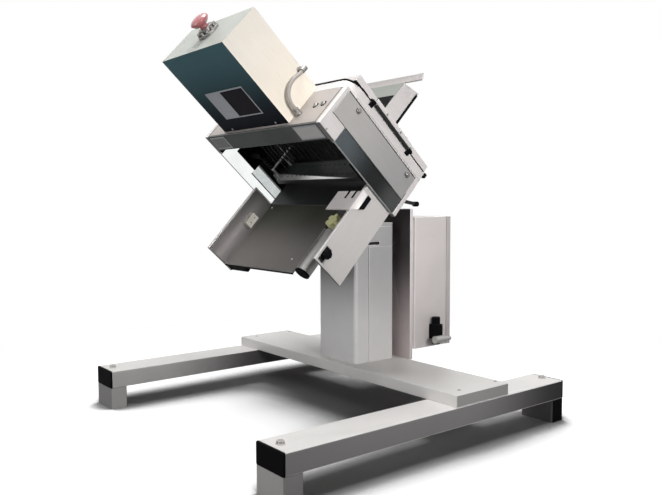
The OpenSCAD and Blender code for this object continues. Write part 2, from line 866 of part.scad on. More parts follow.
module hold_down_posts() color(c_black) in_head() both_sides() {
  rod_z([post_x, axis_y, collar_z], post_d, post_top - collar_z);
  rod_z([post_x, axis_y, collar_z], collar_d, collar_h);
  block([post_x - bracket_half, axis_y - bracket_half, bracket_z],
        [half_in, axis_y + bracket_half, bracket_z + bracket_t]);
  translate([half_in - bracket_foot[0], axis_y - bracket_foot[1] / 2, bracket_z - bracket_foot_drop])
    cube(bracket_foot);
}

module hold_down_springs() color(c_steel) in_head()
  for (s = [-1, 1]) translate([s * post_x, axis_y, strip_z + strip_t + spring_gap])
    coil(spring_r, spring_wire, bracket_z - strip_z - strip_t - 2 * spring_gap, spring_turns);

// Rear door, chute and latch

module rear_door() color(c_frame) in_head() difference() {
  union() {
    difference() {
      block([-door_half, door_y, door_z[0]], [door_half, door_y + door_t, door_z[1]]);
      block([-door_half + sheet, door_y - over, door_z[0] + sheet],
            [door_half - sheet, door_y + door_t - sheet, door_z[1] - sheet]);
      block([-mouth_half, door_y, mouth_z[0]], [mouth_half, door_y + door_t + over, mouth_z[1]]);
      rod_y([latch_x, door_y, latch_z], latch_shaft_d + 2 * run, door_t + over);
    }
    rod_z([door_axis_x, door_axis_y, barrel_z[0]], door_barrel_d, barrel_z[1] - barrel_z[0]);
    block([door_half - eps, door_y, barrel_z[0]],
          [door_half + leaf_out, door_y + door_t - over, barrel_z[1]]);
    block([door_half + leaf_out - over, door_axis_y + leaf_web[0], barrel_z[0]],
          [door_axis_x, door_axis_y + leaf_web[1], barrel_z[1]]);
  }
  rod_z([door_axis_x, door_axis_y, barrel_z[0] - over], door_pin_d + 2 * run,
        barrel_z[1] - barrel_z[0] + 2 * over);
}

module infeed_chute() color(c_steel) in_head() {
  y0 = door_y + door_t;
  top = mouth_z[0];
  block([-chute_half, y0, top - tray_t], [chute_half, chute_end, top]);
  for (x = [-chute_half, chute_half - tray_t]) translate([x, 0, 0])
    rotate([90, 0, 90]) linear_extrude(tray_t)
      polygon([[y0, top - chute_drop], [chute_end + chute_toe, top - chute_drop],
               [chute_end - tray_t, top], [y0, top]]);
  translate([-lip_half, 0, 0]) rotate([90, 0, 90]) linear_extrude(2 * lip_half)
    polygon([[chute_end - eps, top - tray_t], [chute_end + chute_toe, top + lip_rise[0]],
             [chute_end + chute_toe - over, top + lip_rise[1]], [chute_end - eps, top]]);
}

module door_latch() color(c_black) in_head() translate([latch_x, door_y + door_t, latch_z]) {
  rod_y([0, 4 - door_t, 0], latch_shaft_d, door_t - 3);
  rod_y([0, knob_gap, 0], latch_disc_d, latch_disc_t);
  translate([-latch_wing[0] / 2, latch_disc_t, -latch_wing[2] / 2]) cube(latch_wing);
}

// Moving pieces of the head

module estop_button() color("crimson") at_estop() {
  rod_z([0, 0, -stem_drop], stem_d, stem_drop + button_z + over);
  translate([0, 0, button_z]) rotate_extrude()
    polygon(concat([[0, 0], [button_foot_r, 0], button_waist],
      [for (a = [0:15:75]) [button_r * cos(a), button_rim + button_dome * sin(a)]],
      [[0, button_rim + button_dome]]));
}

module piston_rod() color(c_steel) in_head() {
  rod_z([0, axis_y, manifold_z + manifold_t], rod_d, piston_z - manifold_z - manifold_t + eps);
  rod_z([0, axis_y, piston_z], bore_d - 4 * run, piston_t);
}

module needle_manifold() color(c_dark_steel) in_head() translate([0, axis_y, manifold_z]) {
  block([-manifold_half, -manifold_d / 2, 0], [manifold_half, manifold_d / 2, manifold_t]);
  translate([inlet_inset - manifold_half, -inlet_block[1] / 2, manifold_t - eps])
    cube(inlet_block + [0, 0, eps]);
}

module needles() color(c_steel) in_head() at_needles() {
  rod_z([0, 0, tip_z + tip_len], needle_d, manifold_z - tip_z - tip_len);
  translate([0, 0, tip_z]) cylinder(d1 = tip_d, d2 = needle_d, h = tip_len, $fn = 24);
}

module guide_rods() color(c_steel) in_head()
  for (s = [-1, 1])
    rod_z([s * guide_x, axis_y, manifold_z + manifold_t], guide_d, guide_top - manifold_z - manifold_t);

module stripper_plate() color(c_steel) in_head() {
  difference() {
    translate([0, axis_y, strip_z]) linear_extrude(strip_t) {
      square([2 * strip_half, strip_d], center = true);
      square([2 * post_x, lug_d], center = true);
      for (s = [-1, 1]) translate([s * post_x, 0]) circle(d = lug_d);
    }
    translate([0, 0, strip_z - over]) {
      at_needles() cylinder(d = needle_d + needle_slack, h = strip_t + 2 * over);
      for (s = [-1, 1]) rod_z([s * post_x, axis_y, 0], post_d + 2 * run, strip_t + 2 * over);
    }
  }
  both_sides() {
    for (y = bail_y) rod_z([bail_x, y, strip_z + strip_t - eps], bail_d, bail_top - strip_z - strip_t);
    rod_y([bail_x, bail_y[0] - bail_d / 2, bail_top], bail_d, bail_rear - bail_y[0] + bail_d / 2);
  }
}

// Tray group

module outlet_tray() color(c_steel) in_head() {
  block([tray_x0 - tray_t, tray_front, bed_z - tray_t], [tray_x1, tray_rear, bed_z]);
  block([tray_x0 - tray_t, tray_front, bed_z - tray_t], [tray_x0, tray_rear, bed_z + tray_wall]);
}

module tray_frame() color(c_dark_steel) in_head() difference() {
  union() {
    for (y = tray_bar_y)
      block([tray_x0 - 1, y, bed_z - tray_t - tray_bar], [bar_end, y + tray_bar, bed_z - tray_t]);
    block([bar_end - ear_t, lock_y - ear_front, bed_z - tray_t - eps],
          [bar_end, tray_bar_y[0] + tray_bar, lock_zc + ear_rise]);
  }
  rod_x([bar_end - ear_t - over, lock_y, lock_zc], lock_d + 2 * run, ear_t + 2 * over);
  rod_z([clamp_x, clamp_y, bed_z - tray_t - tray_bar - over], clamp_stud_d + 2 * run, tray_bar + 2 * over);
}

// Round bar with a groove along its top, let into the front tray bar from above
module guide_rail() color(c_frame) in_head() translate([guide_rail_x, 0, bed_z]) difference() {
  rod_y([0, tray_front + end_pad_t, 0], guide_rail_d, guide_rail_rear - tray_front - end_pad_t);
  block([-guide_rail_d, tray_bar_y[0], -tray_t - tray_bar],
        [guide_rail_d, tray_bar_y[0] + tray_bar, -tray_t]);
  block([-groove_w / 2, tray_front, guide_rail_d / 2 - groove_depth],
        [groove_w / 2, guide_rail_rear + over, guide_rail_d]);
}

module rubber_pads() color(c_black) in_head() {
  rod_y([guide_rail_x, tray_front, bed_z], guide_rail_d, end_pad_t);
  translate([tray_x0 - 2, tray_front, bed_z - tray_t - pad_size[1]])
    cube([pad_len, pad_size[0], pad_size[1]]);
}

module tray_guide_block() color([0.85, 0.84, 0.78]) in_head()
  translate([tray_x0, guide_block_y, bed_z + guide_block_rise]) difference() {
    cube(guide_block);
    for (y = guide_hole_y)
      rod_x([guide_block[0] - guide_hole_depth, y, guide_block[2] / 2], guide_hole_d,
            guide_hole_depth + over);
  }

module rail_clamp_knob() color([0.82, 0.84, 0.42]) in_head() translate([clamp_x, clamp_y, bed_z]) {
  rod_z([0, 0, -tray_t - clamp_stud_drop], clamp_stud_d, clamp_stud_drop + tray_t + clamp_rise);
  rod_z([0, 0, knob_gap - tray_t], clamp_boss_d, clamp_boss_t);
  translate([0, 0, clamp_rise]) linear_extrude(clamp_t) {
    circle(clamp_hub_r);
    for (i = [0:clamp_lobes - 1]) rotate(360 / clamp_lobes * i) translate([clamp_lobe_off, 0])
      circle(clamp_lobe_r);
  }
}

module tray_lock_knob() color(c_black) in_head() translate([0, lock_y, lock_zc]) {
  rod_x([bed_half - lock_shank_in, 0, 0], lock_d, wing_t + lock_shank_in + over);
  rod_x([half_in + eps, 0, 0], lock_knob_d, lock_knob_t);
  for (i = [0:lock_rib_count - 1]) rotate([360 / lock_rib_count * i, 0, 0])
    rod_x([half_in + over, 0, lock_knob_d / 2], lock_rib_d, lock_knob_t - 2);
}

module notched_bracket() color(c_frame) in_head() {
  inner = bed_half - bracket_slack;
  outer = half_in + bracket_slack;
  grip_front = leg_y[0] + (bracket_y[0] - leg_y[0]) * (grip_z - leg_z) / (bracket_top - leg_z);
  difference() {
    block([bracket_x0, bracket_y[0], bracket_top - bracket_sheet],
          [outer + bracket_sheet, bracket_y[1], bracket_top]);
    for (x = notch_x)
      block([x, notch_front, wing_top], [x + notch_w, bracket_y[1] + over, bracket_top + over]);
  }
  block([inner - bracket_sheet, bracket_y[0], wing_top - bracket_drop],
        [inner, bracket_y[1], bracket_top]);
  translate([outer, 0, 0]) rotate([90, 0, 90]) {
    linear_extrude(bracket_sheet)
      polygon([[bracket_y[0], bracket_top], [leg_y[0], leg_z], [leg_y[1], leg_z], [leg_y[1], bracket_top]]);
    linear_extrude(bracket_sheet + grip_t)
      polygon([[grip_front, grip_z], [leg_y[0], leg_z], [leg_y[1], leg_z], [leg_y[1], grip_z]]);
  }
}

left_rail();
right_rail();
rail_end_caps();
foot_blocks();
foot_bolts();
crossbar();
column();
column_duct_cover();
column_head();
pivot_pin();
rear_plate();
control_box();
valve_manifold();
air_regulator();
air_coupler();
tilt_lever();
control_box_lid();
lid_lock();
regulator_knob();
head_base();
pivot_bushes();
bed_plate();
left_side_frame();
right_side_frame();
rear_arch();
side_panels();
side_thumbscrews();
side_windows();
left_tray_cheek();
right_tray_cheek();
deck();
front_bezel();
rear_gasket();
door_hinge_pin();
drive_housing();
cylinder_barrel();
cylinder_caps();
guide_bushes();
air_hose();
hose_fittings();
estop_base();
hold_down_posts();
hold_down_springs();
rear_door();
infeed_chute();
door_latch();
estop_button();
piston_rod();
needle_manifold();
needles();
guide_rods();
stripper_plate();
outlet_tray();
tray_frame();
guide_rail();
rubber_pads();
tray_guide_block();
rail_clamp_knob();
tray_lock_knob();
notched_bracket();
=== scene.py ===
"""Looks of a floor-standing needle injector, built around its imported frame.

Stand pieces are placed in metres of the row frame. Head pieces are placed in millimetres of the
head's own frame: x across, y up the slope to the rear, z square to the bed, from the tilt pivot.
"""

import json
import math

import bmesh
import bpy
from mathutils import Matrix, Vector


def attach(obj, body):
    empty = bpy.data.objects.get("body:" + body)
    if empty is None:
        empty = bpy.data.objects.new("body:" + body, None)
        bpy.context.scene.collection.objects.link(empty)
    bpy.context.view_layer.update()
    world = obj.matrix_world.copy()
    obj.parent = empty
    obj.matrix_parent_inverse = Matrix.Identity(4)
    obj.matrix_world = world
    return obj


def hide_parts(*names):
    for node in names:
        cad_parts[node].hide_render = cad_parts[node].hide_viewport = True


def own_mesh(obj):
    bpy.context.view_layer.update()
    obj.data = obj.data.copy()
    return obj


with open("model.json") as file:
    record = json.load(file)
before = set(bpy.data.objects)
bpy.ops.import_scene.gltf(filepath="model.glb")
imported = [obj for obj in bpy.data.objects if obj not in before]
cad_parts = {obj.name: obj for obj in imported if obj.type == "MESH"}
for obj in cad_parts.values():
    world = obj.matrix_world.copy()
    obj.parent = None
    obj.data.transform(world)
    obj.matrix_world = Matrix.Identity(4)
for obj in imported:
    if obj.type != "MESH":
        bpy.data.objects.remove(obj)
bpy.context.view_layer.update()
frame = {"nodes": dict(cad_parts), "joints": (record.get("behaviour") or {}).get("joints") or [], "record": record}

# Frame of the head, from the joints
MM = 0.001
JOINTS = {joint["name"]: joint for joint in frame["joints"]}
PIVOT = Vector(JOINTS["head_tilt"]["pos_m"])
SLOPE = Vector(JOINTS["bracket_slide"]["axis"])
SQUARE = -Vector(JOINTS["needle_stroke"]["axis"])
ACROSS = Vector((1, 0, 0))
TILT = math.atan2(SLOPE.z, SLOPE.y)
HEAD = Matrix.Translation(PIVOT) @ Matrix.Rotation(TILT, 4, "X") @ Matrix.Scale(MM, 4)
TO_HEAD = HEAD.inverted()
SLOT_OF = {part["node"]: part["material_slot"] for part in frame["record"]["subparts"]}
BODY_OF = {node: body for body, nodes in frame["record"]["behaviour"]["bodies"].items() for node in nodes}

# How meshes are cleaned and rounded: points closer than WELD, in metres, and faces flatter than FLAT are
# merged, edges past SHARP are rounded in so many steps
WELD = 2e-6
FLAT = math.radians(1)
SHARP = math.radians(30)
ROUND_STEPS = 2


def head_box(node):
    """Lowest and highest corner of a node in the head's frame, in millimetres."""
    points = [TO_HEAD @ vertex.co for vertex in frame["nodes"][node].data.vertices]
    return (Vector([min(p[i] for p in points) for i in range(3)]),
            Vector([max(p[i] for p in points) for i in range(3)]))


# Camera

EYE = Vector((1.2376, -0.9318, 0.4498))
LOOK_DOWN = math.radians(3.56)
ROLL = math.radians(0.09)
HEADING = math.radians(50.94)
LENS = 40.16
SENSOR = 36
SHIFT = (-0.0248, -0.0033)


def make_camera():
    data = bpy.data.cameras.new("Camera")
    data.sensor_width = SENSOR
    data.lens = LENS
    data.shift_x, data.shift_y = SHIFT
    camera = make_object("Camera", data)
    camera.location = EYE
    camera.rotation_euler = (math.pi / 2 - LOOK_DOWN, ROLL, HEADING)
    bpy.context.scene.camera = camera


# Node building

FLOAT, INT, VECTOR = "NodeSocketFloat", "NodeSocketInt", "NodeSocketVector"
GEOMETRY, MATERIAL = "NodeSocketGeometry", "NodeSocketMaterial"


def add(tree, kind, inputs=None, **settings):
    """New node. An input takes a value, or another node's output."""
    node = tree.nodes.new(kind)
    for key, value in settings.items():
        setattr(node, key, value)
    for key, value in (inputs or {}).items():
        if isinstance(value, bpy.types.NodeSocket):
            tree.links.new(value, node.inputs[key])
        else:
            node.inputs[key].default_value = value
    return node


def calc(tree, operation, *values):
    """Result of a sum on values or outputs."""
    return add(tree, "ShaderNodeMath", dict(enumerate(values)), operation=operation).outputs[0]


def remap(tree, value, start=0.0, end=1.0, low=0.0, high=1.0, smooth=False):
    """Number that goes from low to high as a value goes from start to end."""
    return add(tree, "ShaderNodeMapRange",
               {"Value": value, "From Min": start, "From Max": end, "To Min": low, "To Max": high},
               interpolation_type="SMOOTHSTEP" if smooth else "LINEAR").outputs[0]


def noise(tree, place, scale, detail, roughness, distortion=0.0):
    return add(tree, "ShaderNodeTexNoise",
               {"Vector": place, "Scale": scale, "Detail": detail, "Roughness": roughness,
                "Distortion": distortion}).outputs["Fac"]


# Effects that finishes share

def effect_group(name, **inputs):
    """New group that reads a place, and the outputs of its input node. An input has a kind and a value."""
    group = bpy.data.node_groups.new(name, "ShaderNodeTree")
    for label, (kind, value) in {"Vector": (VECTOR, (0, 0, 0)), **inputs}.items():
        group.interface.new_socket(label, in_out="INPUT", socket_type=kind).default_value = value
    return group, group.nodes.new("NodeGroupInput").outputs


def put_out(group, **results):
    """Gives a group its outputs."""
    for label in results:
        group.interface.new_socket(label, in_out="OUTPUT", socket_type=FLOAT)
    sockets = group.nodes.new("NodeGroupOutput").inputs
    for label, result in results.items():
        group.links.new(result, sockets[label])
    return group


def make_grain():
    """Fine lines of a brushed or ground surface, drawn out along one direction."""
    group, given = effect_group("Brushed grain", Stretch=(VECTOR, (30, 900, 900)), Contrast=(FLOAT, 0.25))
    place = add(group, "ShaderNodeVectorMath", {0: given["Vector"], 1: given["Stretch"]},
                operation="MULTIPLY")
    lines = noise(group, place.outputs[0], 1.0, 5.0, 0.62)
    low, high = [calc(group, operation, 0.5, given["Contrast"]) for operation in ("SUBTRACT", "ADD")]
    return put_out(group, Mask=remap(group, lines, low, high), Height=lines)


def make_marks():
    """Soft cloudy patches that handling and wiping leave."""
    group, given = effect_group("Handling marks", Scale=(FLOAT, 6.0))
    cloud = noise(group, given["Vector"], given["Scale"], 4.0, 0.55, distortion=0.6)
    return put_out(group, Mask=remap(group, cloud, 0.32, 0.7, smooth=True))


def make_speckle():
    """Fine pits of a blasted, powder-coated or moulded surface."""
    group, given = effect_group("Fine speckle", Scale=(FLOAT, 900.0))
    pits = noise(group, given["Vector"], given["Scale"], 2.0, 0.5)
    return put_out(group, Mask=remap(group, pits, 0.3, 0.7), Height=pits)


def make_scratches():
    """Sparse hairline scratches in two directions."""
    group, given = effect_group("Hairline scratches", Scale=(FLOAT, 60.0), Cover=(FLOAT, 0.3))
    edge = remap(group, given["Cover"], low=0.86, high=0.6)
    strokes = []
    for turn, stretch in ((0.5, (0.06, 1.6, 1.0)), (-0.9, (1.4, 0.05, 1.0))):
        place = add(group, "ShaderNodeMapping",
                    {"Vector": given["Vector"], "Rotation": (turn, turn, 0.3), "Scale": stretch})
        lines = noise(group, place.outputs[0], given["Scale"], 3.0, 0.7)
        strokes.append(calc(group, "GREATER_THAN", lines, edge))
    return put_out(group, Mask=calc(group, "MAXIMUM", *strokes))


def make_dust():
    """Dust that settles on faces that look up."""
    group, given = effect_group("Settled dust", Scale=(FLOAT, 25.0))
    facing = add(group, "ShaderNodeNewGeometry").outputs["Normal"]
    up = remap(group, add(group, "ShaderNodeSeparateXYZ", {"Vector": facing}).outputs["Z"], 0.2, 0.95)
    patch = remap(group, noise(group, given["Vector"], given["Scale"], 6.0, 0.7), 0.4, 0.75)
    return put_out(group, Mask=calc(group, "MULTIPLY", up, patch))


def make_fade():
    """Slow change of tone along one direction, from nought at Start to one at End, in metres. The finishes paint
    shade, light and reflections with it.
    """
    group, given = effect_group("Slow fade", Axis=(VECTOR, (0, 0, 1)), Start=(FLOAT, 0.0), End=(FLOAT, 1.0))
    reach = add(group, "ShaderNodeVectorMath", {0: given["Vector"], 1: given["Axis"]},
                operation="DOT_PRODUCT").outputs["Value"]
    return put_out(group, Mask=remap(group, reach, given["Start"], given["End"], smooth=True))


GRAIN, MARKS, SPECKLE = make_grain(), make_marks(), make_speckle()
SCRATCHES, DUST, FADE = make_scratches(), make_dust(), make_fade()


def shade(colour, factor):
    return tuple(min(1.0, c * factor) for c in colour[:3]) + (1.0,)


def grey(value):
    return (value, value, value, 1.0)


# Sockets of a Mix node that mixes colours
COLOUR_A, COLOUR_B, COLOUR_OUT = 6, 7, 2


class Finish:
    """A material under construction: its shader, and the steps that every finish is made of."""

    def __init__(self, name, in_head=False, **constants):
        self.material = bpy.data.materials.new(name)
        self.material.use_nodes = True
        self.tree = self.material.node_tree
        self.shader = self.tree.nodes["Principled BSDF"]
        for key, value in constants.items():
            self.shader.inputs[key.replace("_", " ")].default_value = value
        self.place = self.upright = add(self.tree, "ShaderNodeTexCoord").outputs["Object"]
        if in_head:
            turn = add(self.tree, "ShaderNodeMapping", {"Vector": self.place, "Rotation": (-TILT, 0, 0)})
            self.place = turn.outputs[0]
        self.height = None

    def use(self, group, **inputs):
        """Outputs of an effect."""
        return add(self.tree, "ShaderNodeGroup", inputs, node_tree=group).outputs

    def effect(self, group, **inputs):
        """Outputs of an effect that follows the grain of the piece."""
        return self.use(group, Vector=self.place, **inputs)

    def fade(self, axis, start, end):
        """Mask that grows along a direction of the row frame, between two distances in metres."""
        return self.use(FADE, Vector=self.upright, Axis=axis, Start=start, End=end)["Mask"]

    def blend(self, mask, low, high, **settings):
        """Colour that goes from low to high with a mask. Either may be another colour's output."""
        return add(self.tree, "ShaderNodeMix", {"Factor": mask, COLOUR_A: low, COLOUR_B: high},
                   data_type="RGBA", **settings).outputs[COLOUR_OUT]

    def tones(self, colour, fades):
        """A colour that passes into others: fades gives (colour, fade) pairs, one after another."""
        base = shade(colour, 1.0)
        for far, fade in fades:
            base = self.blend(self.fade(*fade), base, shade(far, 1.0))
        return base

    def multiply(self, tone, colour):
        return self.blend(1.0, tone, colour, blend_type="MULTIPLY")

    def scale(self, mask, low, high):
        """Number that goes from low to high with a mask."""
        return remap(self.tree, mask, low=low, high=high)

    def colour(self, socket):
        self.tree.links.new(socket, self.shader.inputs["Base Color"])

    def roughness(self, socket):
        self.tree.links.new(socket, self.shader.inputs["Roughness"])

    def bump(self, height, strength, distance):
        """Adds a layer of bump, in metres, on top of any before it."""
        inputs = {"Height": height, "Strength": strength, "Distance": distance}
        if self.height is not None:
            inputs["Normal"] = self.height
        self.height = add(self.tree, "ShaderNodeBump", inputs).outputs[0]
        self.tree.links.new(self.height, self.shader.inputs["Normal"])


# Finishes

PALE_DUST = (0.62, 0.59, 0.54, 1)
GREY_DUST = (0.45, 0.43, 0.4, 1)


def satin_coat(name, colour, rough=(0.4, 0.55), fades=()):
    """Pale satin coat over a blasted surface, with wipe marks, hairlines and a little dust."""
    made = Finish(name, Metallic=0.15)
    marks = made.effect(MARKS, Scale=5.0)["Mask"]
    pits = made.effect(SPECKLE, Scale=1100.0)
    lines = made.effect(SCRATCHES, Scale=40.0, Cover=0.22)["Mask"]
    dust = made.effect(DUST, Scale=30.0)["Mask"]
    tone = made.blend(marks, grey(0.94), grey(1.04))
    tone = made.blend(made.scale(pits["Mask"], 0.0, 0.25), tone, grey(0.88))
    tone = made.blend(made.scale(lines, 0.0, 0.3), tone, grey(1.18))
    tone = made.multiply(tone, made.tones(colour, fades))
    made.colour(made.blend(made.scale(dust, 0.0, 0.12), tone, PALE_DUST))
    made.roughness(made.scale(marks, *rough))
    made.bump(pits["Height"], 0.12, 0.0003)
    return made.material


def brushed_sheet(name, colour, stretch, metallic=0.1, rough=(0.34, 0.48), in_head=True, fades=(),
                  **constants):
    """Ground stainless sheet: grain lines, wipe marks and hairlines."""
    made = Finish(name, in_head, Metallic=metallic, **constants)
    grain = made.effect(GRAIN, Stretch=stretch, Contrast=0.22)
    marks = made.effect(MARKS, Scale=9.0)["Mask"]
    lines = made.effect(SCRATCHES, Scale=55.0, Cover=0.25)["Mask"]
    tone = made.blend(grain["Mask"], grey(0.92), grey(1.05))
    tone = made.blend(made.scale(marks, 0.0, 0.3), tone, grey(0.86))
    tone = made.blend(made.scale(lines, 0.0, 0.3), tone, grey(1.2))
    made.colour(made.multiply(tone, made.tones(colour, fades)))
    made.roughness(made.scale(marks, *rough))
    made.bump(grain["Height"], 0.1, 0.0002)
    return made.material


def polished_steel(name, colour, rough=(0.08, 0.2)):
    """Turned or polished steel with faint rings and smears."""
    made = Finish(name, True, Metallic=1.0)
    grain = made.effect(GRAIN, Stretch=(700, 700, 60), Contrast=0.3)
    marks = made.effect(MARKS, Scale=30.0)["Mask"]
    made.colour(made.blend(grain["Mask"], shade(colour, 0.86), shade(colour, 1.05)))
    made.roughness(made.scale(marks, *rough))
    made.bump(grain["Height"], 0.06, 0.0001)
    return made.material


def moulded(name, colour, rough=(0.35, 0.5), pits=1400.0, worn=1.4, **constants):
    """Moulded plastic or rubber with a fine skin and paler rubbed patches."""
    made = Finish(name, **constants)
    skin = made.effect(SPECKLE, Scale=pits)
    marks = made.effect(MARKS, Scale=28.0)["Mask"]
    dust = made.effect(DUST, Scale=60.0)["Mask"]
    tone = made.blend(made.scale(marks, 0.0, 0.5), shade(colour, 0.92), shade(colour, worn))
    made.colour(made.blend(made.scale(dust, 0.0, 0.06), tone, GREY_DUST))
    made.roughness(made.scale(marks, *rough))
    made.bump(skin["Height"], 0.25, 0.0002)
    return made.material


def clear_sheet(name, tint, weight, fades=()):
    """Clear sheet with a faint tint and wipe marks."""
    made = Finish(name, True, Transmission_Weight=weight, IOR=1.2, Specular_IOR_Level=0.2)
    marks = made.effect(MARKS, Scale=22.0)["Mask"]
    tone = made.blend(marks, grey(0.94), grey(1.04))
    made.colour(made.multiply(tone, made.tones(tint, fades)))
    made.roughness(made.scale(marks, 0.01, 0.05))
    return made.material


# Stretch of a grain that runs along each direction of the head's frame, and directions of the row frame
ALONG_X = (25, 800, 800)
ALONG_Y = (800, 25, 800)
ALONG_Z = (800, 800, 25)
UPRIGHT = Vector((0, 0, 1))
DEPTH = Vector((0, 1, 0))


def head_fade(axis, low, high):
    """Fade along a direction of the head, between two distances from the pivot in millimetres."""
    pivot = axis.dot(PIVOT)
    return axis, pivot + low * MM, pivot + high * MM


def past_line(start, end, margin):
    """Sharp change of tone across a line between two points on a face that is level with the bed."""
    run = Vector((end[0] - start[0], end[1] - start[1])).normalized()
    axis = ACROSS * -run.y + SLOPE * run.x
    line = axis.dot(HEAD @ Vector((*start, 0)))
    return axis, line - margin * MM, line + margin * MM


PAINT = satin_coat("stand satin coat", (0.72, 0.705, 0.685))
# Rounded edges of the stand: rubbed wear, and a painted highlight where the edges catch light
PAINT_EDGE_WEAR_HIGHLIGHT = satin_coat("stand rubbed edge and painted highlight", (0.78, 0.77, 0.75), rough=(0.28, 0.4))
# Sides of the right rail: painted shade, darker than the coat and fading to black towards the rear
RIGHT_SIDE_SHADE = satin_coat("right rail side painted shade", (0.262, 0.252, 0.252),
                        fades=[((0.004, 0.004, 0.004), (DEPTH, 0.08, 0.335))])
# Sides of the left rail: painted shadow, darkening towards the crossbar
LEFT_SIDE_SHADE = satin_coat("left rail side painted shadow", (0.49, 0.48, 0.47),
                       fades=[((0.045, 0.043, 0.043), (DEPTH, -0.24, 0.04))])
# Darker coat: painted shade on the crossbar's ends and the left feet's sides; the foot bolts wear it as their own
# grey
END_SHADE_AND_BOLT_COAT = satin_coat("crossbar end painted shade and bolt coat", (0.4, 0.385, 0.375))
# Lighter copy of the stand coat: painted light on the right rail and the crossbar's front faces
LIT_COAT = satin_coat("satin coat with painted light", (0.83, 0.81, 0.79))
# Foot blocks: painted shade over the block, with the front faces of the right feet painted lighter as light
FOOT_SHADE_COAT = satin_coat("foot block painted shade", (0.29, 0.285, 0.28))
FOOT_FRONT_LIT = satin_coat("foot front painted light", (0.55, 0.54, 0.525))
FOOT_SHADED = satin_coat("shaded foot coat", (0.08, 0.078, 0.078))
# Column coats: painted shadow of the head, darker towards the top, on the sides and on the front
COLUMN_COAT_SHADED = satin_coat("column coat with painted head shadow", (0.74, 0.725, 0.715),
                         fades=[((0.4, 0.395, 0.395), (UPRIGHT, 0.1, 0.34))])
COLUMN_FRONT_SHADED = satin_coat("column front with painted head shadow", (0.78, 0.77, 0.77),
                          fades=[((0.24, 0.24, 0.24), (UPRIGHT, 0.13, 0.32))])
BOX_COAT = satin_coat("control box coat", (0.66, 0.61, 0.6), rough=(0.36, 0.5))
LID_COAT = satin_coat("control box lid coat", (0.51, 0.475, 0.47), rough=(0.36, 0.5))
# Rear plate: painted shadow of the head, darkening towards the top
REAR_PLATE_SHADED = brushed_sheet("rear plate steel with painted head shadow", (0.55, 0.48, 0.475), ALONG_Z, metallic=0.3, in_head=False,
                            fades=[((0.032, 0.025, 0.027), (UPRIGHT, 0.1, 0.36))])
FRAME_STEEL = brushed_sheet("side frame steel", (0.57, 0.54, 0.53), ALONG_Z)
# Forward faces of the frames and tray cheeks: painted shade, much darker than the same sheet elsewhere
FRONT_SHADE_STEEL = brushed_sheet("front face painted shade", (0.16, 0.155, 0.15), ALONG_Z, metallic=0.3)
# Side panels: darker towards the bottom, as painted shade
PANEL_STEEL = brushed_sheet("side panel steel", (0.275, 0.27, 0.267), ALONG_Z,
                            fades=[((0.36, 0.345, 0.335), head_fade(SQUARE, 70, 250))])
BRACKET_STEEL = brushed_sheet("bracket steel", (0.67, 0.635, 0.62), ALONG_X)
CHEEK_STEEL = brushed_sheet("tray cheek steel", (0.53, 0.506, 0.493), ALONG_Y)
DECK_STEEL = brushed_sheet("deck steel", (0.43, 0.39, 0.37), ALONG_X)
# Upward faces of the side frames and rear arch: painted light, paler than the same sheet elsewhere
TOP_LIGHT_STEEL = brushed_sheet("frame top painted light", (0.72, 0.7, 0.69), ALONG_Y)
# The drive housing is one sheet: its side, top and front are painted in three tones as reflections, and the side
# pales and the front turns teal towards the top as painted light and reflection
HOUSING_SIDE_REFLECTION = brushed_sheet("housing side painted reflection", (0.8, 0.73, 0.63), ALONG_Z, metallic=0.0,
                             fades=[((0.84, 0.78, 0.7), head_fade(SQUARE, 300, 470))])
HOUSING_TOP_REFLECTION = brushed_sheet("housing top painted reflection", (0.44, 0.46, 0.42), ALONG_X)
# Upward faces of the infeed chute: painted reflection, darker and greener than the rest of its sheet
CHUTE_FLOOR_REFLECTION = brushed_sheet("chute floor painted reflection", (0.35, 0.365, 0.335), ALONG_X)
HOUSING_FRONT_REFLECTION = brushed_sheet("housing front painted reflection", (0.004, 0.005, 0.01), ALONG_X, metallic=0.0,
                              rough=(0.3, 0.42), fades=[((0.062, 0.13, 0.15), head_fade(SQUARE, 290, 470))],
                              Specular_IOR_Level=0.03)
BEZEL_STEEL = brushed_sheet("bezel sheet", (0.048, 0.058, 0.054), ALONG_X, metallic=0.0,
                            fades=[((0.088, 0.095, 0.092), (ACROSS, 0.06, 0.16))], Specular_IOR_Level=0.2)
# Tray floor and walls: painted shadow of the head, darker towards the rear
TRAY_STEEL_SHADED = brushed_sheet("tray sheet with painted head shadow", (0.186, 0.172, 0.163), ALONG_Y, metallic=0.2,
                           fades=[((0.048, 0.048, 0.04), head_fade(SLOPE, -235, -100))],
                           Specular_IOR_Level=0.2)
TRAY_WALL_SHADED = brushed_sheet("tray wall with painted head shadow", (0.19, 0.175, 0.172), ALONG_Y, metallic=0.2,
                          fades=[((0.11, 0.106, 0.102), head_fade(SLOPE, -235, -100))],
                          Specular_IOR_Level=0.2)
# Top of the stripper plate: a painted highlight along its front, brightest towards the near end, and painted shade
# behind a slanting line
STRIPPER_TOP_HIGHLIGHT = brushed_sheet("stripper top painted highlight and shade", (0.17, 0.17, 0.165), ALONG_X, metallic=0.0,
                             fades=[((0.85, 0.85, 0.84), (ACROSS, -0.08, 0.02)),
                                    ((0.008, 0.009, 0.009), past_line((-150, -33), (60, -50), 2))],
                             Specular_IOR_Level=0.05)
DARK_STEEL = brushed_sheet("shaded steel", (0.022, 0.023, 0.023), ALONG_X, metallic=0.2,
                           Specular_IOR_Level=0.2)
# Rounded edges of sheets and parts: rubbed wear and a painted highlight; the tray screws are made of the same
# bright steel
EDGE_STEEL_WEAR_HIGHLIGHT = polished_steel("sheet edge wear and painted highlight", (0.70, 0.69, 0.68), rough=(0.26, 0.4))
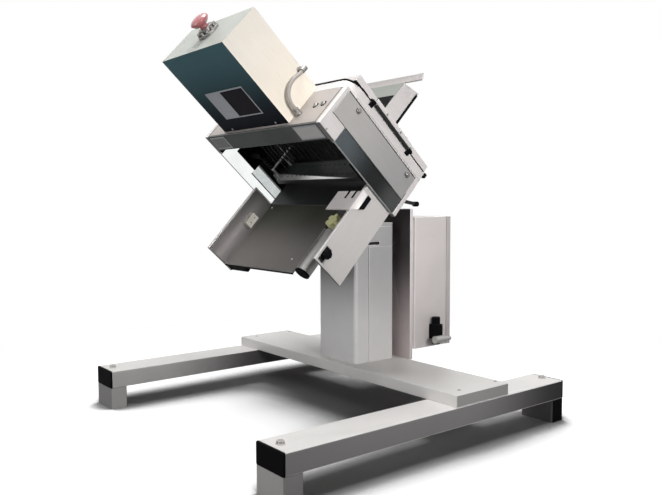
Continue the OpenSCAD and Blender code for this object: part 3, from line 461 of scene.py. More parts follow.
# Needles and hold-down springs: bright steel painted dark, as the shade of the chamber they stand in
NEEDLE_STEEL_SHADED = brushed_sheet("needle steel in painted shade", (0.02, 0.02, 0.021), ALONG_Z, metallic=0.0,
                             Specular_IOR_Level=0.1)
BAIL_STEEL = brushed_sheet("bail steel", (0.33, 0.33, 0.325), ALONG_Y, metallic=0.0)
BRIGHT = polished_steel("polished steel", (0.72, 0.72, 0.71))
DULL_STEEL = polished_steel("dull screw steel", (0.3, 0.29, 0.28), rough=(0.35, 0.5))
BRONZE = polished_steel("bush bronze", (0.5, 0.34, 0.13), rough=(0.3, 0.45))
ANODISED = brushed_sheet("anodised rail", (0.46, 0.45, 0.435), ALONG_Y, metallic=0.5, rough=(0.28, 0.42))
PLATE_SILVER = brushed_sheet("blank plate rim", (0.36, 0.37, 0.40), ALONG_X, metallic=0.2)
PLATE_PALE = brushed_sheet("blank plate pale field", (0.33, 0.34, 0.37), ALONG_X, metallic=0.0)
PLATE_WHITE = brushed_sheet("blank plate white field", (0.46, 0.45, 0.44), ALONG_X, metallic=0.0)
PLATE_GREY = brushed_sheet("blank plate grey field", (0.14, 0.137, 0.14), ALONG_X, metallic=0.0)
BLACK = moulded("black plastic", (0.005, 0.005, 0.006), rough=(0.5, 0.62), Specular_IOR_Level=0.02)
RUBBER = moulded("black rubber", (0.005, 0.005, 0.006), rough=(0.6, 0.8), pits=700.0, Specular_IOR_Level=0.05)
RED = moulded("red plastic", (0.42, 0.13, 0.14), rough=(0.18, 0.32), worn=1.3, Coat_Weight=0.6)
YELLOW = moulded("pale yellow plastic", (0.97, 0.96, 0.5), rough=(0.4, 0.55), worn=1.15)
WHITE = moulded("white plastic", (0.52, 0.50, 0.44), rough=(0.38, 0.5), worn=1.08)
HOSE_GREY = moulded("grey hose", (0.34, 0.315, 0.295), rough=(0.4, 0.55), worn=1.15)
FIELD = moulded("blank plate dark field", (0.012, 0.01, 0.013), rough=(0.45, 0.55), worn=1.3,
                Specular_IOR_Level=0.05)
CLEAR = clear_sheet("clear guard", (0.9, 0.925, 0.915), 1.0)
# Near guard: a clear sheet painted dark as the shade of the chamber behind it, darkest in the middle, with a
# lighter band towards the top as painted reflection
NEAR_GUARD_SHADE = clear_sheet("near guard painted shade and reflection", (0.11, 0.112, 0.112), 0.5,
                         fades=[((0.028, 0.031, 0.031), head_fade(SQUARE, 60, 110)),
                                ((0.14, 0.16, 0.175), head_fade(SQUARE, 130, 220))])
CLEAR_RAIL = clear_sheet("frosted guard rail", (0.63, 0.65, 0.65), 1.0)
# Edges of the clear guards: painted highlight, standing in for light caught in the sheet's edge
CLEAR_EDGE_HIGHLIGHT = moulded("clear guard edge painted highlight", (0.42, 0.44, 0.44), rough=(0.2, 0.32), worn=1.2)


# Meshes and pieces

def as_mesh(name, shape):
    mesh = bpy.data.meshes.new(name)
    shape.to_mesh(mesh)
    shape.free()
    return mesh


def make_object(name, data, *materials):
    made = bpy.data.objects.new(name, data)
    for material in materials:
        made.data.materials.append(material)
    bpy.context.scene.collection.objects.link(made)
    return made


def settle(made):
    """Turns an object with modifiers into a plain mesh."""
    graph = bpy.context.evaluated_depsgraph_get()
    mesh = bpy.data.meshes.new_from_object(made.evaluated_get(graph), preserve_all_data_layers=True,
                                           depsgraph=graph)
    made.modifiers.clear()
    made.data = mesh
    return made


def finish_piece(made, body, slot, *nodes):
    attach(made, body)
    if nodes:
        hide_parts(*nodes)
    return made


def round_edges(made, width, edge_index=-1):
    """Rounds the outward edges of a mesh, which weigh_edges has marked, in the finish of an index."""
    made.data.set_sharp_from_angle(angle=SHARP)
    bevel = made.modifiers.new("Rounded edges", "BEVEL")
    bevel.width = width * MM
    bevel.segments = ROUND_STEPS
    bevel.limit_method = "WEIGHT"
    bevel.harden_normals = True
    bevel.material = edge_index
    return settle(made)


def weigh_edges(shape):
    """Marks the outward sharp edges of a shape for rounding, so that inner corners stay crisp."""
    weight = shape.edges.layers.float.new("bevel_weight_edge")
    for edge in shape.edges:
        if len(edge.link_faces) == 2 and edge.is_convex and edge.calc_face_angle() > SHARP:
            edge[weight] = 1.0
    for face in shape.faces:
        face.smooth = True


def rounded_node(node, finish, edge=None, width=0.8, paint=()):
    """A CAD node with its edges rounded. paint gives (finish, test) pairs for faces of their own look."""
    shape = bmesh.new()
    shape.from_mesh(frame["nodes"][node].data)
    bmesh.ops.remove_doubles(shape, verts=shape.verts, dist=WELD)
    bmesh.ops.dissolve_limit(shape, angle_limit=FLAT, verts=shape.verts, edges=shape.edges)
    weigh_edges(shape)
    looks = [finish, edge or finish] + [look for look, _ in paint]
    for face in shape.faces:
        face.material_index = 0
        for number, (_, test) in enumerate(paint):
            if test(face.normal, TO_HEAD @ face.calc_center_median()):
                face.material_index = number + 2
    name = node + "_finished"
    made = make_object(name, as_mesh(name, shape), *looks)
    round_edges(made, width, edge_index=1 if edge else -1)
    return finish_piece(made, BODY_OF[node], SLOT_OF[node], node)


def head_strip(name, low, high, body, slot, material, width=0.2):
    """A small block between two corners in the head's frame, its edges rounded by a width."""
    low, high = Vector(low), Vector(high)
    shape = bmesh.new()
    bmesh.ops.create_cube(shape, size=1)
    for vertex in shape.verts:
        vertex.co = (low + high) / 2 + Vector([vertex.co[i] * (high - low)[i] for i in range(3)])
    weigh_edges(shape)
    mesh = as_mesh(name, shape)
    mesh.transform(HEAD)
    return finish_piece(round_edges(make_object(name, mesh, material), width), body, slot)


# Stage

# Half width of the floor, and the distances between which it runs into white, in metres. Its tone for light
# and for the camera, and the share of white in the open.
FLOOR_REACH = 12.0
FLOOR_FADE = (0.7, 1.2)
FLOOR_TONE = 0.5
FLOOR_SEEN = 2.4
FLOOR_LIFT = 0.8
# Shadow where pieces stand close: reach in metres, rays, the openness between which it passes, tone
CONTACT_REACH = 0.26
CONTACT_RAYS = 16
CONTACT = (0.62, 1.0)
CONTACT_TONE = 0.3


def make_floor():
    """White floor that keeps its shadows, and runs into the white of the world away from the object."""
    shape = bmesh.new()
    bmesh.ops.create_grid(shape, x_segments=1, y_segments=1, size=FLOOR_REACH)
    mesh = as_mesh("Floor", shape)
    material = bpy.data.materials.new("pale floor")
    material.use_nodes = True
    tree = material.node_tree
    tree.nodes.clear()
    place = add(tree, "ShaderNodeTexCoord").outputs["Object"]
    reach = add(tree, "ShaderNodeVectorMath", {0: place}, operation="LENGTH").outputs["Value"]
    far = remap(tree, reach, *FLOOR_FADE, smooth=True)
    path = add(tree, "ShaderNodeLightPath").outputs
    seen = calc(tree, "MAXIMUM", path["Is Camera Ray"], path["Is Transmission Ray"])
    near = add(tree, "ShaderNodeAmbientOcclusion", {"Distance": CONTACT_REACH},
               samples=CONTACT_RAYS).outputs["AO"]
    clear = remap(tree, near, *CONTACT, smooth=True)
    tone = remap(tree, seen, low=FLOOR_TONE, high=remap(tree, clear, low=CONTACT_TONE, high=FLOOR_SEEN))
    white_share = calc(tree, "MAXIMUM", far, calc(tree, "MULTIPLY", clear, FLOOR_LIFT))
    blank = calc(tree, "MULTIPLY", white_share, seen)
    matt = add(tree, "ShaderNodeBsdfDiffuse", {"Color": tone}).outputs[0]
    white = add(tree, "ShaderNodeEmission", {"Color": grey(1.0), "Strength": 1.0}).outputs[0]
    both = add(tree, "ShaderNodeMixShader", {0: blank, 1: matt, 2: white}).outputs[0]
    add(tree, "ShaderNodeOutputMaterial", {"Surface": both})
    make_object("Floor", mesh, material)


AMBIENT = 0.04
AMBIENT_TONE = (0.97, 0.98, 1.0, 1)


def make_world():
    world = bpy.data.worlds.new("Studio")
    bpy.context.scene.world = world
    world.use_nodes = True
    tree = world.node_tree
    tree.nodes.clear()
    soft = add(tree, "ShaderNodeBackground", {"Color": AMBIENT_TONE, "Strength": AMBIENT}).outputs[0]
    white = add(tree, "ShaderNodeBackground", {"Color": grey(1.0), "Strength": 1.0}).outputs[0]
    path = add(tree, "ShaderNodeLightPath").outputs
    seen = calc(tree, "MAXIMUM", path["Is Camera Ray"], path["Is Transmission Ray"])
    seen = calc(tree, "MAXIMUM", seen, path["Is Glossy Ray"])
    both = add(tree, "ShaderNodeMixShader", {0: seen, 1: soft, 2: white}).outputs[0]
    add(tree, "ShaderNodeOutputWorld", {"Surface": both})


# Lamp: place, the point it faces, its size, its power and the spread of its beam in degrees
LAMPS = {
    "Overhead right": ((0.55, -0.3, 3.4), (0.1, 0.0, 0.1), (1.2, 1.2), 50.0, 180),
    "Overhead left": ((-0.55, -0.3, 3.4), (-0.1, 0.0, 0.1), (1.2, 1.2), 50.0, 180),
    "Side": ((2.3, -0.5, 1.0), (0.0, 0.05, 0.56), (0.6, 0.6), 2.3, 34),
    "Front": ((-0.4, -2.2, 0.8), (0.0, 0.0, 0.6), (1.0, 0.8), 1.0, 34),
}


def make_lamps():
    for name, (place, target, size, power, spread) in LAMPS.items():
        data = bpy.data.lights.new(name, "AREA")
        data.shape = "RECTANGLE"
        data.size, data.size_y = size
        data.energy = power
        data.spread = math.radians(spread)
        lamp = make_object(name, data)
        lamp.location = place
        lamp.rotation_euler = (Vector(target) - Vector(place)).to_track_quat("-Z", "Y").to_euler()


# Geometry trees

# Sides of round shapes
SPRING_SIDES, NEEDLE_SIDES, HUB_SIDES, RIB_SIDES, HOSE_SIDES = 10, 16, 6, 8, 20
# Steps in a turn of a spring
TURN_STEPS = 36


def geometry_tree(name, inputs):
    """New tree and the outputs of its input node. An input has a kind and a value."""
    tree = bpy.data.node_groups.new(name, "GeometryNodeTree")
    tree.interface.new_socket("Geometry", in_out="INPUT", socket_type=GEOMETRY)
    for label, (kind, value) in inputs.items():
        tree.interface.new_socket(label, in_out="INPUT", socket_type=kind).default_value = value
    tree.interface.new_socket("Material", in_out="INPUT", socket_type=MATERIAL)
    tree.interface.new_socket("Geometry", in_out="OUTPUT", socket_type=GEOMETRY)
    return tree, tree.nodes.new("NodeGroupInput").outputs


def dress(tree, given, shape):
    """Ends a tree with a shape in the given material."""
    solid = add(tree, "GeometryNodeRealizeInstances", {"Geometry": shape}).outputs[0]
    look = add(tree, "GeometryNodeSetMaterial", {"Geometry": solid, "Material": given["Material"]}).outputs[0]
    tree.links.new(look, tree.nodes.new("NodeGroupOutput").inputs["Geometry"])
    return tree


def put_on_points(tree, given, shape):
    """Ends a tree with a shape on each input point, its z along the point's facing."""
    facing = add(tree, "GeometryNodeInputNamedAttribute", {"Name": "facing"}, data_type="FLOAT_VECTOR")
    turn = add(tree, "FunctionNodeAlignRotationToVector", {"Vector": facing.outputs["Attribute"]}, axis="Z")
    copies = add(tree, "GeometryNodeInstanceOnPoints",
                 {"Points": given["Geometry"], "Instance": shape, "Rotation": turn.outputs[0]})
    return dress(tree, given, copies.outputs[0])


def raise_by(tree, shape, height):
    """Shape moved along z."""
    lift = add(tree, "ShaderNodeCombineXYZ", {"Z": height}).outputs[0]
    return add(tree, "GeometryNodeTransform", {"Geometry": shape, "Translation": lift}).outputs[0]


def sweep(tree, curve, diameter, sides):
    """Round solid along a curve."""
    section = add(tree, "GeometryNodeCurvePrimitiveCircle",
                  {"Resolution": sides, "Radius": calc(tree, "MULTIPLY", diameter, 0.5)})
    return add(tree, "GeometryNodeCurveToMesh",
               {"Curve": curve, "Profile Curve": section.outputs[0], "Fill Caps": True}).outputs[0]


# Screw head: its rim and each further step up or down, as shares of its height, and how a step scales the top
SCREW_RIM = 0.4
SCREW_STEPS = [(0.3, 0.88), (0.2, 0.8), (0.1, 0.72), (0.001, 0.86), (-0.55, 0.96)]


def make_screw_tree():
    """Dome screw heads with a round socket, one on each point."""
    tree, given = geometry_tree("Dome screws", {"Head radius": (FLOAT, 0.005), "Head height": (FLOAT, 0.003),
                                                "Sides": (INT, 24)})

    def part(share):
        return calc(tree, "MULTIPLY", given["Head height"], share)

    rim = add(tree, "GeometryNodeMeshCylinder", {"Vertices": given["Sides"], "Radius": given["Head radius"],
                                                 "Depth": part(SCREW_RIM)}, fill_type="NGON").outputs
    shape, top = raise_by(tree, rim["Mesh"], part(SCREW_RIM / 2)), rim["Top"]
    for rise, scale in SCREW_STEPS:
        raised = add(tree, "GeometryNodeExtrudeMesh",
                     {"Mesh": shape, "Selection": top, "Offset Scale": part(rise), "Individual": False},
                     mode="FACES").outputs
        top = raised["Top"]
        shape = add(tree, "GeometryNodeScaleElements",
                    {"Geometry": raised["Mesh"], "Selection": top, "Scale": scale}, domain="FACE").outputs[0]
    return put_on_points(tree, given, shape)


def make_spring_tree():
    """Round-wire coil springs standing on the points."""
    tree, given = geometry_tree("Coil springs", {
        "Coil radius": (FLOAT, 0.008), "Wire diameter": (FLOAT, 0.002), "Height": (FLOAT, 0.055),
        "Turns": (FLOAT, 7.0)})
    spiral = add(tree, "GeometryNodeCurveSpiral", {
        "Resolution": TURN_STEPS, "Rotations": given["Turns"], "Start Radius": given["Coil radius"],
        "End Radius": given["Coil radius"], "Height": given["Height"]})
    return put_on_points(tree, given, sweep(tree, spiral.outputs[0], given["Wire diameter"], SPRING_SIDES))


def make_needle_tree():
    """Pointed needles with a hub at the root, hanging down from the points."""
    tree, given = geometry_tree("Needles", {
        "Radius": (FLOAT, 0.002), "Length": (FLOAT, 0.07), "Tip length": (FLOAT, 0.006),
        "Tip radius": (FLOAT, 0.0003), "Hub radius": (FLOAT, 0.0045), "Hub length": (FLOAT, 0.008)})
    shank_length = calc(tree, "SUBTRACT", given["Length"], given["Tip length"])
    shank = add(tree, "GeometryNodeMeshCylinder",
                {"Vertices": NEEDLE_SIDES, "Radius": given["Radius"], "Depth": shank_length})
    tip = add(tree, "GeometryNodeMeshCone",
              {"Vertices": NEEDLE_SIDES, "Radius Top": given["Radius"], "Radius Bottom": given["Tip radius"],
               "Depth": given["Tip length"]})
    hub = add(tree, "GeometryNodeMeshCone",
              {"Vertices": HUB_SIDES, "Radius Top": given["Hub radius"], "Radius Bottom": given["Hub radius"],
               "Depth": given["Hub length"]})
    joined = add(tree, "GeometryNodeJoinGeometry")
    for shape, size, share in ((shank, shank_length, -0.5), (tip, given["Length"], -1.0),
                               (hub, given["Hub length"], -0.5)):
        moved = raise_by(tree, shape.outputs["Mesh"], calc(tree, "MULTIPLY", size, share))
        tree.links.new(moved, joined.inputs[0])
    return put_on_points(tree, given, joined.outputs[0])


def make_rib_tree():
    """Grip ribs round the rim of a knob that stands on each point."""
    tree, given = geometry_tree("Grip ribs", {"Count": (INT, 20), "Rim radius": (FLOAT, 0.0065),
                                              "Rib radius": (FLOAT, 0.0006), "Length": (FLOAT, 0.004)})
    rim = add(tree, "GeometryNodeMeshCircle", {"Vertices": given["Count"], "Radius": given["Rim radius"]})
    rib = add(tree, "GeometryNodeMeshCylinder",
              {"Vertices": RIB_SIDES, "Radius": given["Rib radius"], "Depth": given["Length"]})
    stood = raise_by(tree, rib.outputs["Mesh"], calc(tree, "MULTIPLY", given["Length"], 0.5))
    ring = add(tree, "GeometryNodeInstanceOnPoints", {"Points": rim.outputs[0], "Instance": stood})
    whole = add(tree, "GeometryNodeRealizeInstances", {"Geometry": ring.outputs[0]})
    return put_on_points(tree, given, whole.outputs[0])


def make_hose_tree():
    """Smooth tube along the input points."""
    tree, given = geometry_tree("Hose", {"Diameter": (FLOAT, 0.007), "Steps": (INT, 60)})
    line = add(tree, "GeometryNodeMeshToCurve", {"Mesh": given["Geometry"]})
    kind = add(tree, "GeometryNodeCurveSplineType", {"Curve": line.outputs[0]}, spline_type="CATMULL_ROM")
    even = add(tree, "GeometryNodeResampleCurve", {"Curve": kind.outputs[0], "Count": given["Steps"]})
    tube = sweep(tree, even.outputs[0], given["Diameter"], HOSE_SIDES)
    return dress(tree, given, add(tree, "GeometryNodeSetShadeSmooth", {"Geometry": tube}).outputs[0])


SCREWS, SPRINGS, NEEDLES = make_screw_tree(), make_spring_tree(), make_needle_tree()
RIBS, HOSE = make_rib_tree(), make_hose_tree()


def grow(name, tree, points, facings, sizes, body, slot, material, edges=()):
    """Runs a geometry tree on points in the row frame, and makes the result a plain piece."""
    mesh = bpy.data.meshes.new(name)
    mesh.from_pydata([tuple(p) for p in points], list(edges), [])
    facing = mesh.attributes.new("facing", "FLOAT_VECTOR", "POINT")
    for item, value in zip(facing.data, facings):
        item.vector = value
    made = make_object(name, mesh)
    modifier = made.modifiers.new(tree.name, "NODES")
    modifier.node_group = tree
    for socket in tree.interface.items_tree:
        if socket.in_out == "INPUT" and socket.name in sizes:
            modifier[socket.identifier] = sizes[socket.name]
        elif socket.in_out == "INPUT" and socket.name == "Material":
            modifier[socket.identifier] = material
    settle(made)
    if "facing" in made.data.attributes:
        made.data.attributes.remove(made.data.attributes["facing"])
    for polygon in made.data.polygons:
        polygon.use_smooth = True
    made.data.set_sharp_from_angle(angle=SHARP)
    return finish_piece(made, body, slot)


def head_points(places):
    return [HEAD @ Vector(place) for place in places]


# Tests that choose a finish for a face, from its normal in the row frame and its centre in the head's frame

# Cosine from which a face looks along a direction, and from which it leans that way
FACING, LEANING = 0.9, 0.5
# In metres of the row frame: the slot in the column's side, and where the rear foot of a rail starts
DUCT = ((0.0595, 0.08, 0.353), (0.0635, 0.114, 0.3605))
FAR_FOOT = 0.2
# In the head's frame: half the needle chamber's width, the height of its roof, and the door's barrel
CHAMBER_HALF = 197
CHAMBER_TOP = 200
HINGE_REACH = 3.8
HINGE_AXIS = head_box("door_hinge_pin")[1].xy - Vector((HINGE_REACH, HINGE_REACH))


def faces_across(normal, centre):
    return abs(normal.x) > FACING


def faces_forward(normal, centre):
    return normal.y < -FACING


def on_far_foot(normal, centre):
    """Faces of the foot block at the rear end of the right rail."""
    place = HEAD @ centre
    return place.x > 0 and place.y > FAR_FOOT


def in_duct(normal, centre):
    """Faces of the slot in the side of the column."""
    place = HEAD @ centre
    return all(DUCT[0][i] < place[i] < DUCT[1][i] for i in range(3))


def inside(normal, centre):
    """Faces that look into the needle chamber."""
    across = abs(centre.x) < CHAMBER_HALF and normal.x * centre.x < -1
    return across or (normal.dot(SQUARE) < -LEANING and centre.z > CHAMBER_TOP)


def faces_front(normal, centre):
    return normal.dot(SLOPE) < -FACING


def faces_up(normal, centre):
    return normal.dot(SQUARE) > FACING


def near_hinge(normal, centre):
    return (centre.xy - HINGE_AXIS).length < HINGE_REACH


# Stand

# Distance from the tilt axis where the lever's grip starts, in millimetres
LEVER_GRIP = 76


def finish_stand():
    rounded_node("left_rail", PAINT, PAINT_EDGE_WEAR_HIGHLIGHT, width=1.0, paint=[(LEFT_SIDE_SHADE, faces_across)])
    rounded_node("right_rail", LIT_COAT, PAINT_EDGE_WEAR_HIGHLIGHT, width=1.0, paint=[(RIGHT_SIDE_SHADE, faces_across)])
    rounded_node("foot_blocks", FOOT_SHADE_COAT, width=1.0,
                 paint=[(FOOT_FRONT_LIT, lambda normal, centre: normal.y < -FACING and centre.x > 0),
                        (END_SHADE_AND_BOLT_COAT, lambda normal, centre: normal.x > FACING and centre.x < 0),
                        # The rear foot of the right rail is painted dark, and its outer side black, as shade
                        (FOOT_SHADED, on_far_foot),
                        (BLACK, lambda normal, centre: on_far_foot(normal, centre) and normal.x > FACING)])
    rounded_node("crossbar", PAINT, PAINT_EDGE_WEAR_HIGHLIGHT, width=1.4,
                 paint=[(END_SHADE_AND_BOLT_COAT, faces_across), (LIT_COAT, faces_forward)])
    rounded_node("column", COLUMN_COAT_SHADED, PAINT_EDGE_WEAR_HIGHLIGHT,
                 paint=[(COLUMN_FRONT_SHADED, faces_forward), (DARK_STEEL, in_duct)])
    for node in ("column_duct_cover", "column_head"):
        rounded_node(node, COLUMN_COAT_SHADED, PAINT_EDGE_WEAR_HIGHLIGHT, paint=[(COLUMN_FRONT_SHADED, faces_forward)])
    rounded_node("rail_end_caps", BLACK, width=1.2)
    rounded_node("foot_bolts", END_SHADE_AND_BOLT_COAT, PAINT_EDGE_WEAR_HIGHLIGHT, width=0.6)
    rounded_node("rear_plate", REAR_PLATE_SHADED, PAINT_EDGE_WEAR_HIGHLIGHT, width=1.0, paint=[(BOX_COAT, faces_across)])
    rounded_node("pivot_pin", BRIGHT, width=1.0)
    rounded_node("control_box", BOX_COAT, PAINT_EDGE_WEAR_HIGHLIGHT, width=1.2)
    rounded_node("control_box_lid", LID_COAT, PAINT_EDGE_WEAR_HIGHLIGHT, width=1.2)
    rounded_node("valve_manifold", ANODISED, EDGE_STEEL_WEAR_HIGHLIGHT)
    for node in ("air_regulator", "regulator_knob", "lid_lock"):
        rounded_node(node, BLACK, width=1.0)
    rounded_node("tilt_lever", DARK_STEEL,
                 paint=[(BLACK, lambda normal, centre: centre.yz.length > LEVER_GRIP)])
    rounded_node("air_coupler", ANODISED, width=1.6)


# Head

# Notched bracket: the top of its grip, and between which places across its notches are
GRIP_TOP = 107.3
NOTCHES = (158, 186.5)


def finish_head():
    for node in ("left_side_frame", "right_side_frame", "rear_arch"):
        rounded_node(node, FRAME_STEEL, EDGE_STEEL_WEAR_HIGHLIGHT,
                     paint=[(DARK_STEEL, inside), (FRONT_SHADE_STEEL, faces_front), (TOP_LIGHT_STEEL, faces_up)])
    rounded_node("side_panels", PANEL_STEEL, EDGE_STEEL_WEAR_HIGHLIGHT, width=0.5)
    rounded_node("side_thumbscrews", DULL_STEEL, width=0.6)
    rounded_node("side_windows", CLEAR, width=0.3,
                 paint=[(NEAR_GUARD_SHADE, lambda normal, centre: centre.x > 0),
                        (CLEAR_EDGE_HIGHLIGHT, lambda normal, centre: abs(normal.x) < LEANING)])
    for node in ("left_tray_cheek", "right_tray_cheek"):
        rounded_node(node, CHEEK_STEEL, EDGE_STEEL_WEAR_HIGHLIGHT, width=0.6, paint=[(FRONT_SHADE_STEEL, faces_front)])
    outside = head_box("right_tray_cheek")[1].x

    def on_grip(normal, centre):
        return centre.x > outside and centre.z < GRIP_TOP

    def in_notch(normal, centre):
        return faces_across(normal, centre) and NOTCHES[0] < centre.x < NOTCHES[1]

    # The walls of the bracket's notches are painted black, as shade
    rounded_node("notched_bracket", BRACKET_STEEL, EDGE_STEEL_WEAR_HIGHLIGHT, width=0.5,
                 paint=[(BLACK, on_grip), (BLACK, in_notch)])
    rounded_node("deck", DECK_STEEL, width=0.6, paint=[(DARK_STEEL, inside)])
    rounded_node("front_bezel", BEZEL_STEEL, DULL_STEEL, width=0.6)
    rounded_node("rear_gasket", RUBBER, width=0.4)
    rounded_node("door_hinge_pin", BLACK)
    rounded_node("drive_housing", HOUSING_SIDE_REFLECTION, HOUSING_TOP_REFLECTION, width=1.2,
                 paint=[(HOUSING_TOP_REFLECTION, faces_up), (HOUSING_FRONT_REFLECTION, faces_front)])
    rounded_node("head_base", DARK_STEEL)
    rounded_node("bed_plate", DARK_STEEL)
    rounded_node("hose_fittings", DULL_STEEL, width=0.4)
    rounded_node("estop_base", DULL_STEEL)
    rounded_node("hold_down_posts", BLACK)
    rounded_node("cylinder_caps", DARK_STEEL, EDGE_STEEL_WEAR_HIGHLIGHT)
    rounded_node("cylinder_barrel", ANODISED, width=0.4)
    for node in ("pivot_bushes", "guide_bushes"):
        rounded_node(node, BRONZE, width=0.4)
    rounded_node("rear_door", FRAME_STEEL, EDGE_STEEL_WEAR_HIGHLIGHT, width=0.6,
                 paint=[(DARK_STEEL, near_hinge), (DARK_STEEL, faces_front)])
    rounded_node("infeed_chute", FRAME_STEEL, EDGE_STEEL_WEAR_HIGHLIGHT, width=0.5, paint=[(CHUTE_FLOOR_REFLECTION, faces_up)])
    rounded_node("door_latch", BLACK, width=1.0)
    rounded_node("estop_button", RED, width=1.0)


# Height of the stripper plate without its bails
STRIPPER_REACH = 12


def finish_drive():
    for node in ("piston_rod", "guide_rods"):
        rounded_node(node, DULL_STEEL)
    rounded_node("needle_manifold", DARK_STEEL, width=1.0, paint=[(BEZEL_STEEL, faces_front)])
    plate_top = head_box("stripper_plate")[0].z + STRIPPER_REACH

    def shaded(normal, centre):
        return centre.z < plate_top or centre.x > 0

    def on_top(normal, centre):
        return faces_up(normal, centre) and centre.z < plate_top

    rounded_node("stripper_plate", BAIL_STEEL, width=0.6,
                 paint=[(DARK_STEEL, shaded), (STRIPPER_TOP_HIGHLIGHT, on_top)])


def finish_tray():
    rounded_node("outlet_tray", TRAY_STEEL_SHADED, width=0.6, paint=[(TRAY_WALL_SHADED, faces_across)])
    rounded_node("tray_frame", DARK_STEEL)
    rounded_node("guide_rail", ANODISED, EDGE_STEEL_WEAR_HIGHLIGHT, width=0.6)
    rounded_node("rubber_pads", RUBBER, width=1.0)
    rounded_node("tray_guide_block", WHITE, width=1.0)
    rounded_node("rail_clamp_knob", YELLOW, width=1.6)
    rounded_node("tray_lock_knob", BLACK)


# Details, in millimetres of the head's frame unless said otherwise

NEEDLE_ROWS = (-41, -13)
NEEDLE_COUNT = 15
NEEDLE_PITCH = 16
NEEDLE_RADIUS = 1.5
NEEDLE_HUB = 4


def make_needles():
    low, high = head_box("needles")
    places = [((i - (NEEDLE_COUNT - 1) / 2) * NEEDLE_PITCH, y, high.z)
              for y in NEEDLE_ROWS for i in range(NEEDLE_COUNT)]
    sizes = {"Length": (high.z - low.z) * MM, "Radius": NEEDLE_RADIUS * MM,
             "Hub length": NEEDLE_HUB * MM}
    made = grow("needle_bank", NEEDLES, head_points(places), [SQUARE] * len(places), sizes,
                "needle_carriage", "bright_steel", NEEDLE_STEEL_SHADED)
    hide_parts("needles")


SPRING_AT = (166, -27)
SPRING_FOOT = 112.5
SPRING_TOP = 167.5
SPRING_COIL = 8
SPRING_WIRE = 2
SPRING_TURNS = 7.0


def make_springs():
    places = head_points([(side * SPRING_AT[0], SPRING_AT[1], SPRING_FOOT + SPRING_WIRE / 2)
                          for side in (-1, 1)])
    sizes = {"Coil radius": SPRING_COIL * MM, "Wire diameter": SPRING_WIRE * MM, "Turns": SPRING_TURNS,
             "Height": (SPRING_TOP - SPRING_FOOT - SPRING_WIRE) * MM}
    made = grow("hold_down_coils", SPRINGS, places, [SQUARE] * 2, sizes, "head", "bright_steel", NEEDLE_STEEL_SHADED)
    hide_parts("hold_down_springs")
    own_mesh(made)


HOSE_ROUTE = [(118, 9, 330), (118, 1, 330), (118, -12, 332), (118, -24, 331.5), (118, -35, 328),
              (118, -44, 322), (118, -50, 313), (118, -53, 303), (118, -53, 293)]
HOSE_DIAMETER = 7


def make_hose():
    points = head_points(HOSE_ROUTE)
    links = [(i, i + 1) for i in range(len(points) - 1)]
    made = grow("air_hose_tube", HOSE, points, [SQUARE] * len(points), {"Diameter": HOSE_DIAMETER * MM},
                "head", "grey_hose", HOSE_GREY, edges=links)
    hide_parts("air_hose")


# Screw heads: body, places and facings, head radius and height, slot, finish
UP, OUT, FORWARD = (0, 0, 1), (1, 0, 0), (0, -1, 0)
DECK_SCREWS = [((150, -34, 280), UP), ((172, -32, 280), UP)]
SCREW_ROWS = {
    "deck_screws": ("head", DECK_SCREWS, (5.0, 3.6), "bright_steel", DULL_STEEL),
    "deck_washers": ("head", DECK_SCREWS, (6.6, 1.2), "black_rubber", RUBBER),
    "frame_rivets": ("head", [((206, -81, 261), OUT), ((-206, -81, 261), (-1, 0, 0))], (2.0, 1.2),
                     "bright_steel", DULL_STEEL),
    "housing_screws": ("head", [((-93, -75, 285), FORWARD), ((67, -75, 285), FORWARD)], (2.4, 1.4),
                       "bright_steel", DULL_STEEL),
    "door_side_screws": ("rear_door", [((208, 41, 135), OUT), ((208, 41, 181), OUT), ((205, 40, 94), OUT)],
                         (2.4, 1.4), "bright_steel", DULL_STEEL),
    "tray_screws": ("tray", [((39, -230, 66), UP), ((-172, -94, 66), UP)], (2.3, 1.4), "bright_steel",
                    EDGE_STEEL_WEAR_HIGHLIGHT),
}
# Crossbar screws: places in metres of the row frame, head radius and height in millimetres
CROSSBAR_SCREWS = [(side * 0.343, y, 0.104) for side in (-1, 1) for y in (0.057, 0.158)]
CROSSBAR_HEAD = (3.5, 1.0)


def screw_sizes(radius, height):
    return {"Head radius": radius * MM, "Head height": height * MM}


def make_screws():
    for name, (body, heads, head_size, slot, material) in SCREW_ROWS.items():
        places = head_points([place for place, _ in heads])
        facings = [HEAD.to_3x3().normalized() @ Vector(facing) for _, facing in heads]
        grow(name, SCREWS, places, facings, screw_sizes(*head_size), body, slot, material)
    grow("crossbar_screws", SCREWS, CROSSBAR_SCREWS, [UPRIGHT] * len(CROSSBAR_SCREWS),
         screw_sizes(*CROSSBAR_HEAD), "stand", "satin_steel", DULL_STEEL)


# Width of the rounding on thin sheets and fields
FINE_EDGE = 0.1
# Blank plates: lowest and highest corner on the face that carries them, that face, and the fields on the
# plate, each with the share of the plate's width where it starts and ends
PLATES = {
    "housing_plate": ((-83, 311), (54, 378), -75, [(PLATE_PALE, 0.0, 0.4), (FIELD, 0.4, 1.0)]),
    "bezel_plate_left": ((-190, 244), (-132, 276), -84, [(PLATE_GREY, 0.0, 1.0)]),
    "bezel_plate_right": ((120, 244), (190, 276), -84, [(PLATE_WHITE, 0.0, 1.0)]),
}
PLATE_BORDER = 3
PLATE_THICK = 0.8
FIELD_RISE = 0.3


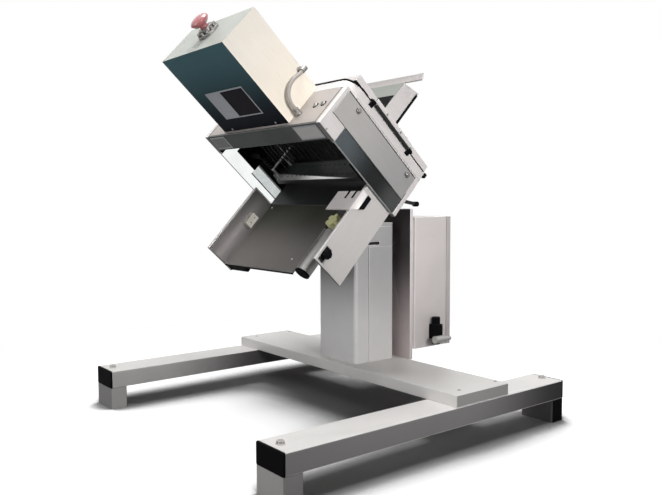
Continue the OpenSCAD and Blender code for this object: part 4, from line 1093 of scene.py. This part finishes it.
def make_plates():
    for name, ((x0, z0), (x1, z1), face, fields) in PLATES.items():
        front = face - PLATE_THICK
        head_strip(name, (x0, front, z0), (x1, face, z1), "head", "satin_steel", PLATE_SILVER, width=0.3)
        left, width = x0 + PLATE_BORDER, x1 - x0 - 2 * PLATE_BORDER
        for number, (look, start, end) in enumerate(fields):
            low = (left + start * width, front - FIELD_RISE, z0 + PLATE_BORDER)
            high = (left + end * width, front, z1 - PLATE_BORDER)
            head_strip(f"{name}_field_{number}", low, high, "head", "black_plastic", look, width=FINE_EDGE)


# Grip ribs: where the knobs stand, and how many ribs each has, its rim radius, rib radius and rib length
THUMB_AT = [(209, -7, 69), (209, -7, 234)]
THUMB_RIBS = (24, 5, 0.5, 3.6)
ESTOP_AT = (-9, -19, 474.5)
ESTOP_LOBES = (10, 18, 3.6, 5.5)


def rib_sizes(count, rim, rib, length):
    return {"Count": count, "Rim radius": rim * MM, "Rib radius": rib * MM, "Length": length * MM}


def make_ribs():
    places = [(side * x, y, z) for side in (-1, 1) for x, y, z in THUMB_AT]
    facings = [ACROSS * (1 if place[0] > 0 else -1) for place in places]
    grow("thumbscrew_ribs", RIBS, head_points(places), facings, rib_sizes(*THUMB_RIBS), "head",
         "satin_steel", DULL_STEEL)
    grow("estop_ring_lobes", RIBS, head_points([ESTOP_AT]), [SQUARE], rib_sizes(*ESTOP_LOBES), "head",
         "satin_steel", DULL_STEEL)


# Rubber and sealing strips, and dark strips of painted shade: body, lowest and highest corner. One on the right
# has its like on the left.
STRIPS = {
    "deck_seam_right": ("head", (190.4, -79.5, 280), (191.8, 9.5, 280.25)),
    # Dark line of painted shadow along the rear edge of each side panel
    "panel_seam_right": ("head", (209, 3.2, 47.5), (209.25, 5, 271.5)),
    "tray_lip": ("tray", (-187, -263, 61.5), (71, -262, 66)),
    # Dark strip on the chute's floor by the door
    "chute_dark_strip": ("rear_door", (-123.5, 47.5, 147), (123.5, 145, 147.6)),
    # Dark line of painted shade along each chute flange
    "chute_edging_right": ("rear_door", (123.8, 47.5, 103.2), (127.4, 190, 109.4)),
    "guard_seal_right": ("head", (199.1, -62.5, 58), (200.5, -60.2, 146)),
    "corner_bumper_right": ("head", (199, 24, 27), (207, 32.5, 34)),
}
STRIP_EDGE = 0.4
# Strips thinner than this have a fine edge
THIN = 1
# Frosted rail on the inner face of the right guard: lowest and highest corner
GUARD_RAIL = ((199.7, -60, 50), (200.5, -34, 146))


def with_mirror(name, low, high):
    """A box, and its mirror image on the left if its name says that it is on the right."""
    yield name, low, high
    if name.endswith("_right"):
        yield name.replace("_right", "_left"), (-high[0], *low[1:]), (-low[0], *high[1:])


def make_strips():
    for first, (body, *corners) in STRIPS.items():
        for name, low, high in with_mirror(first, *corners):
            thinnest = min(b - a for a, b in zip(low, high))
            head_strip(name, low, high, body, "black_rubber", RUBBER,
                       width=FINE_EDGE if thinnest < THIN else STRIP_EDGE)
    for name, low, high in with_mirror("guard_rail_right", *GUARD_RAIL):
        head_strip(name, low, high, "head", SLOT_OF["side_windows"], CLEAR_RAIL)


make_camera()
make_floor()
make_world()
make_lamps()
finish_stand()
finish_head()
finish_drive()
finish_tray()
make_needles()
make_springs()
make_hose()
make_screws()
make_plates()
make_ribs()
make_strips()

bpy.context.scene.view_settings.view_transform = "Standard"
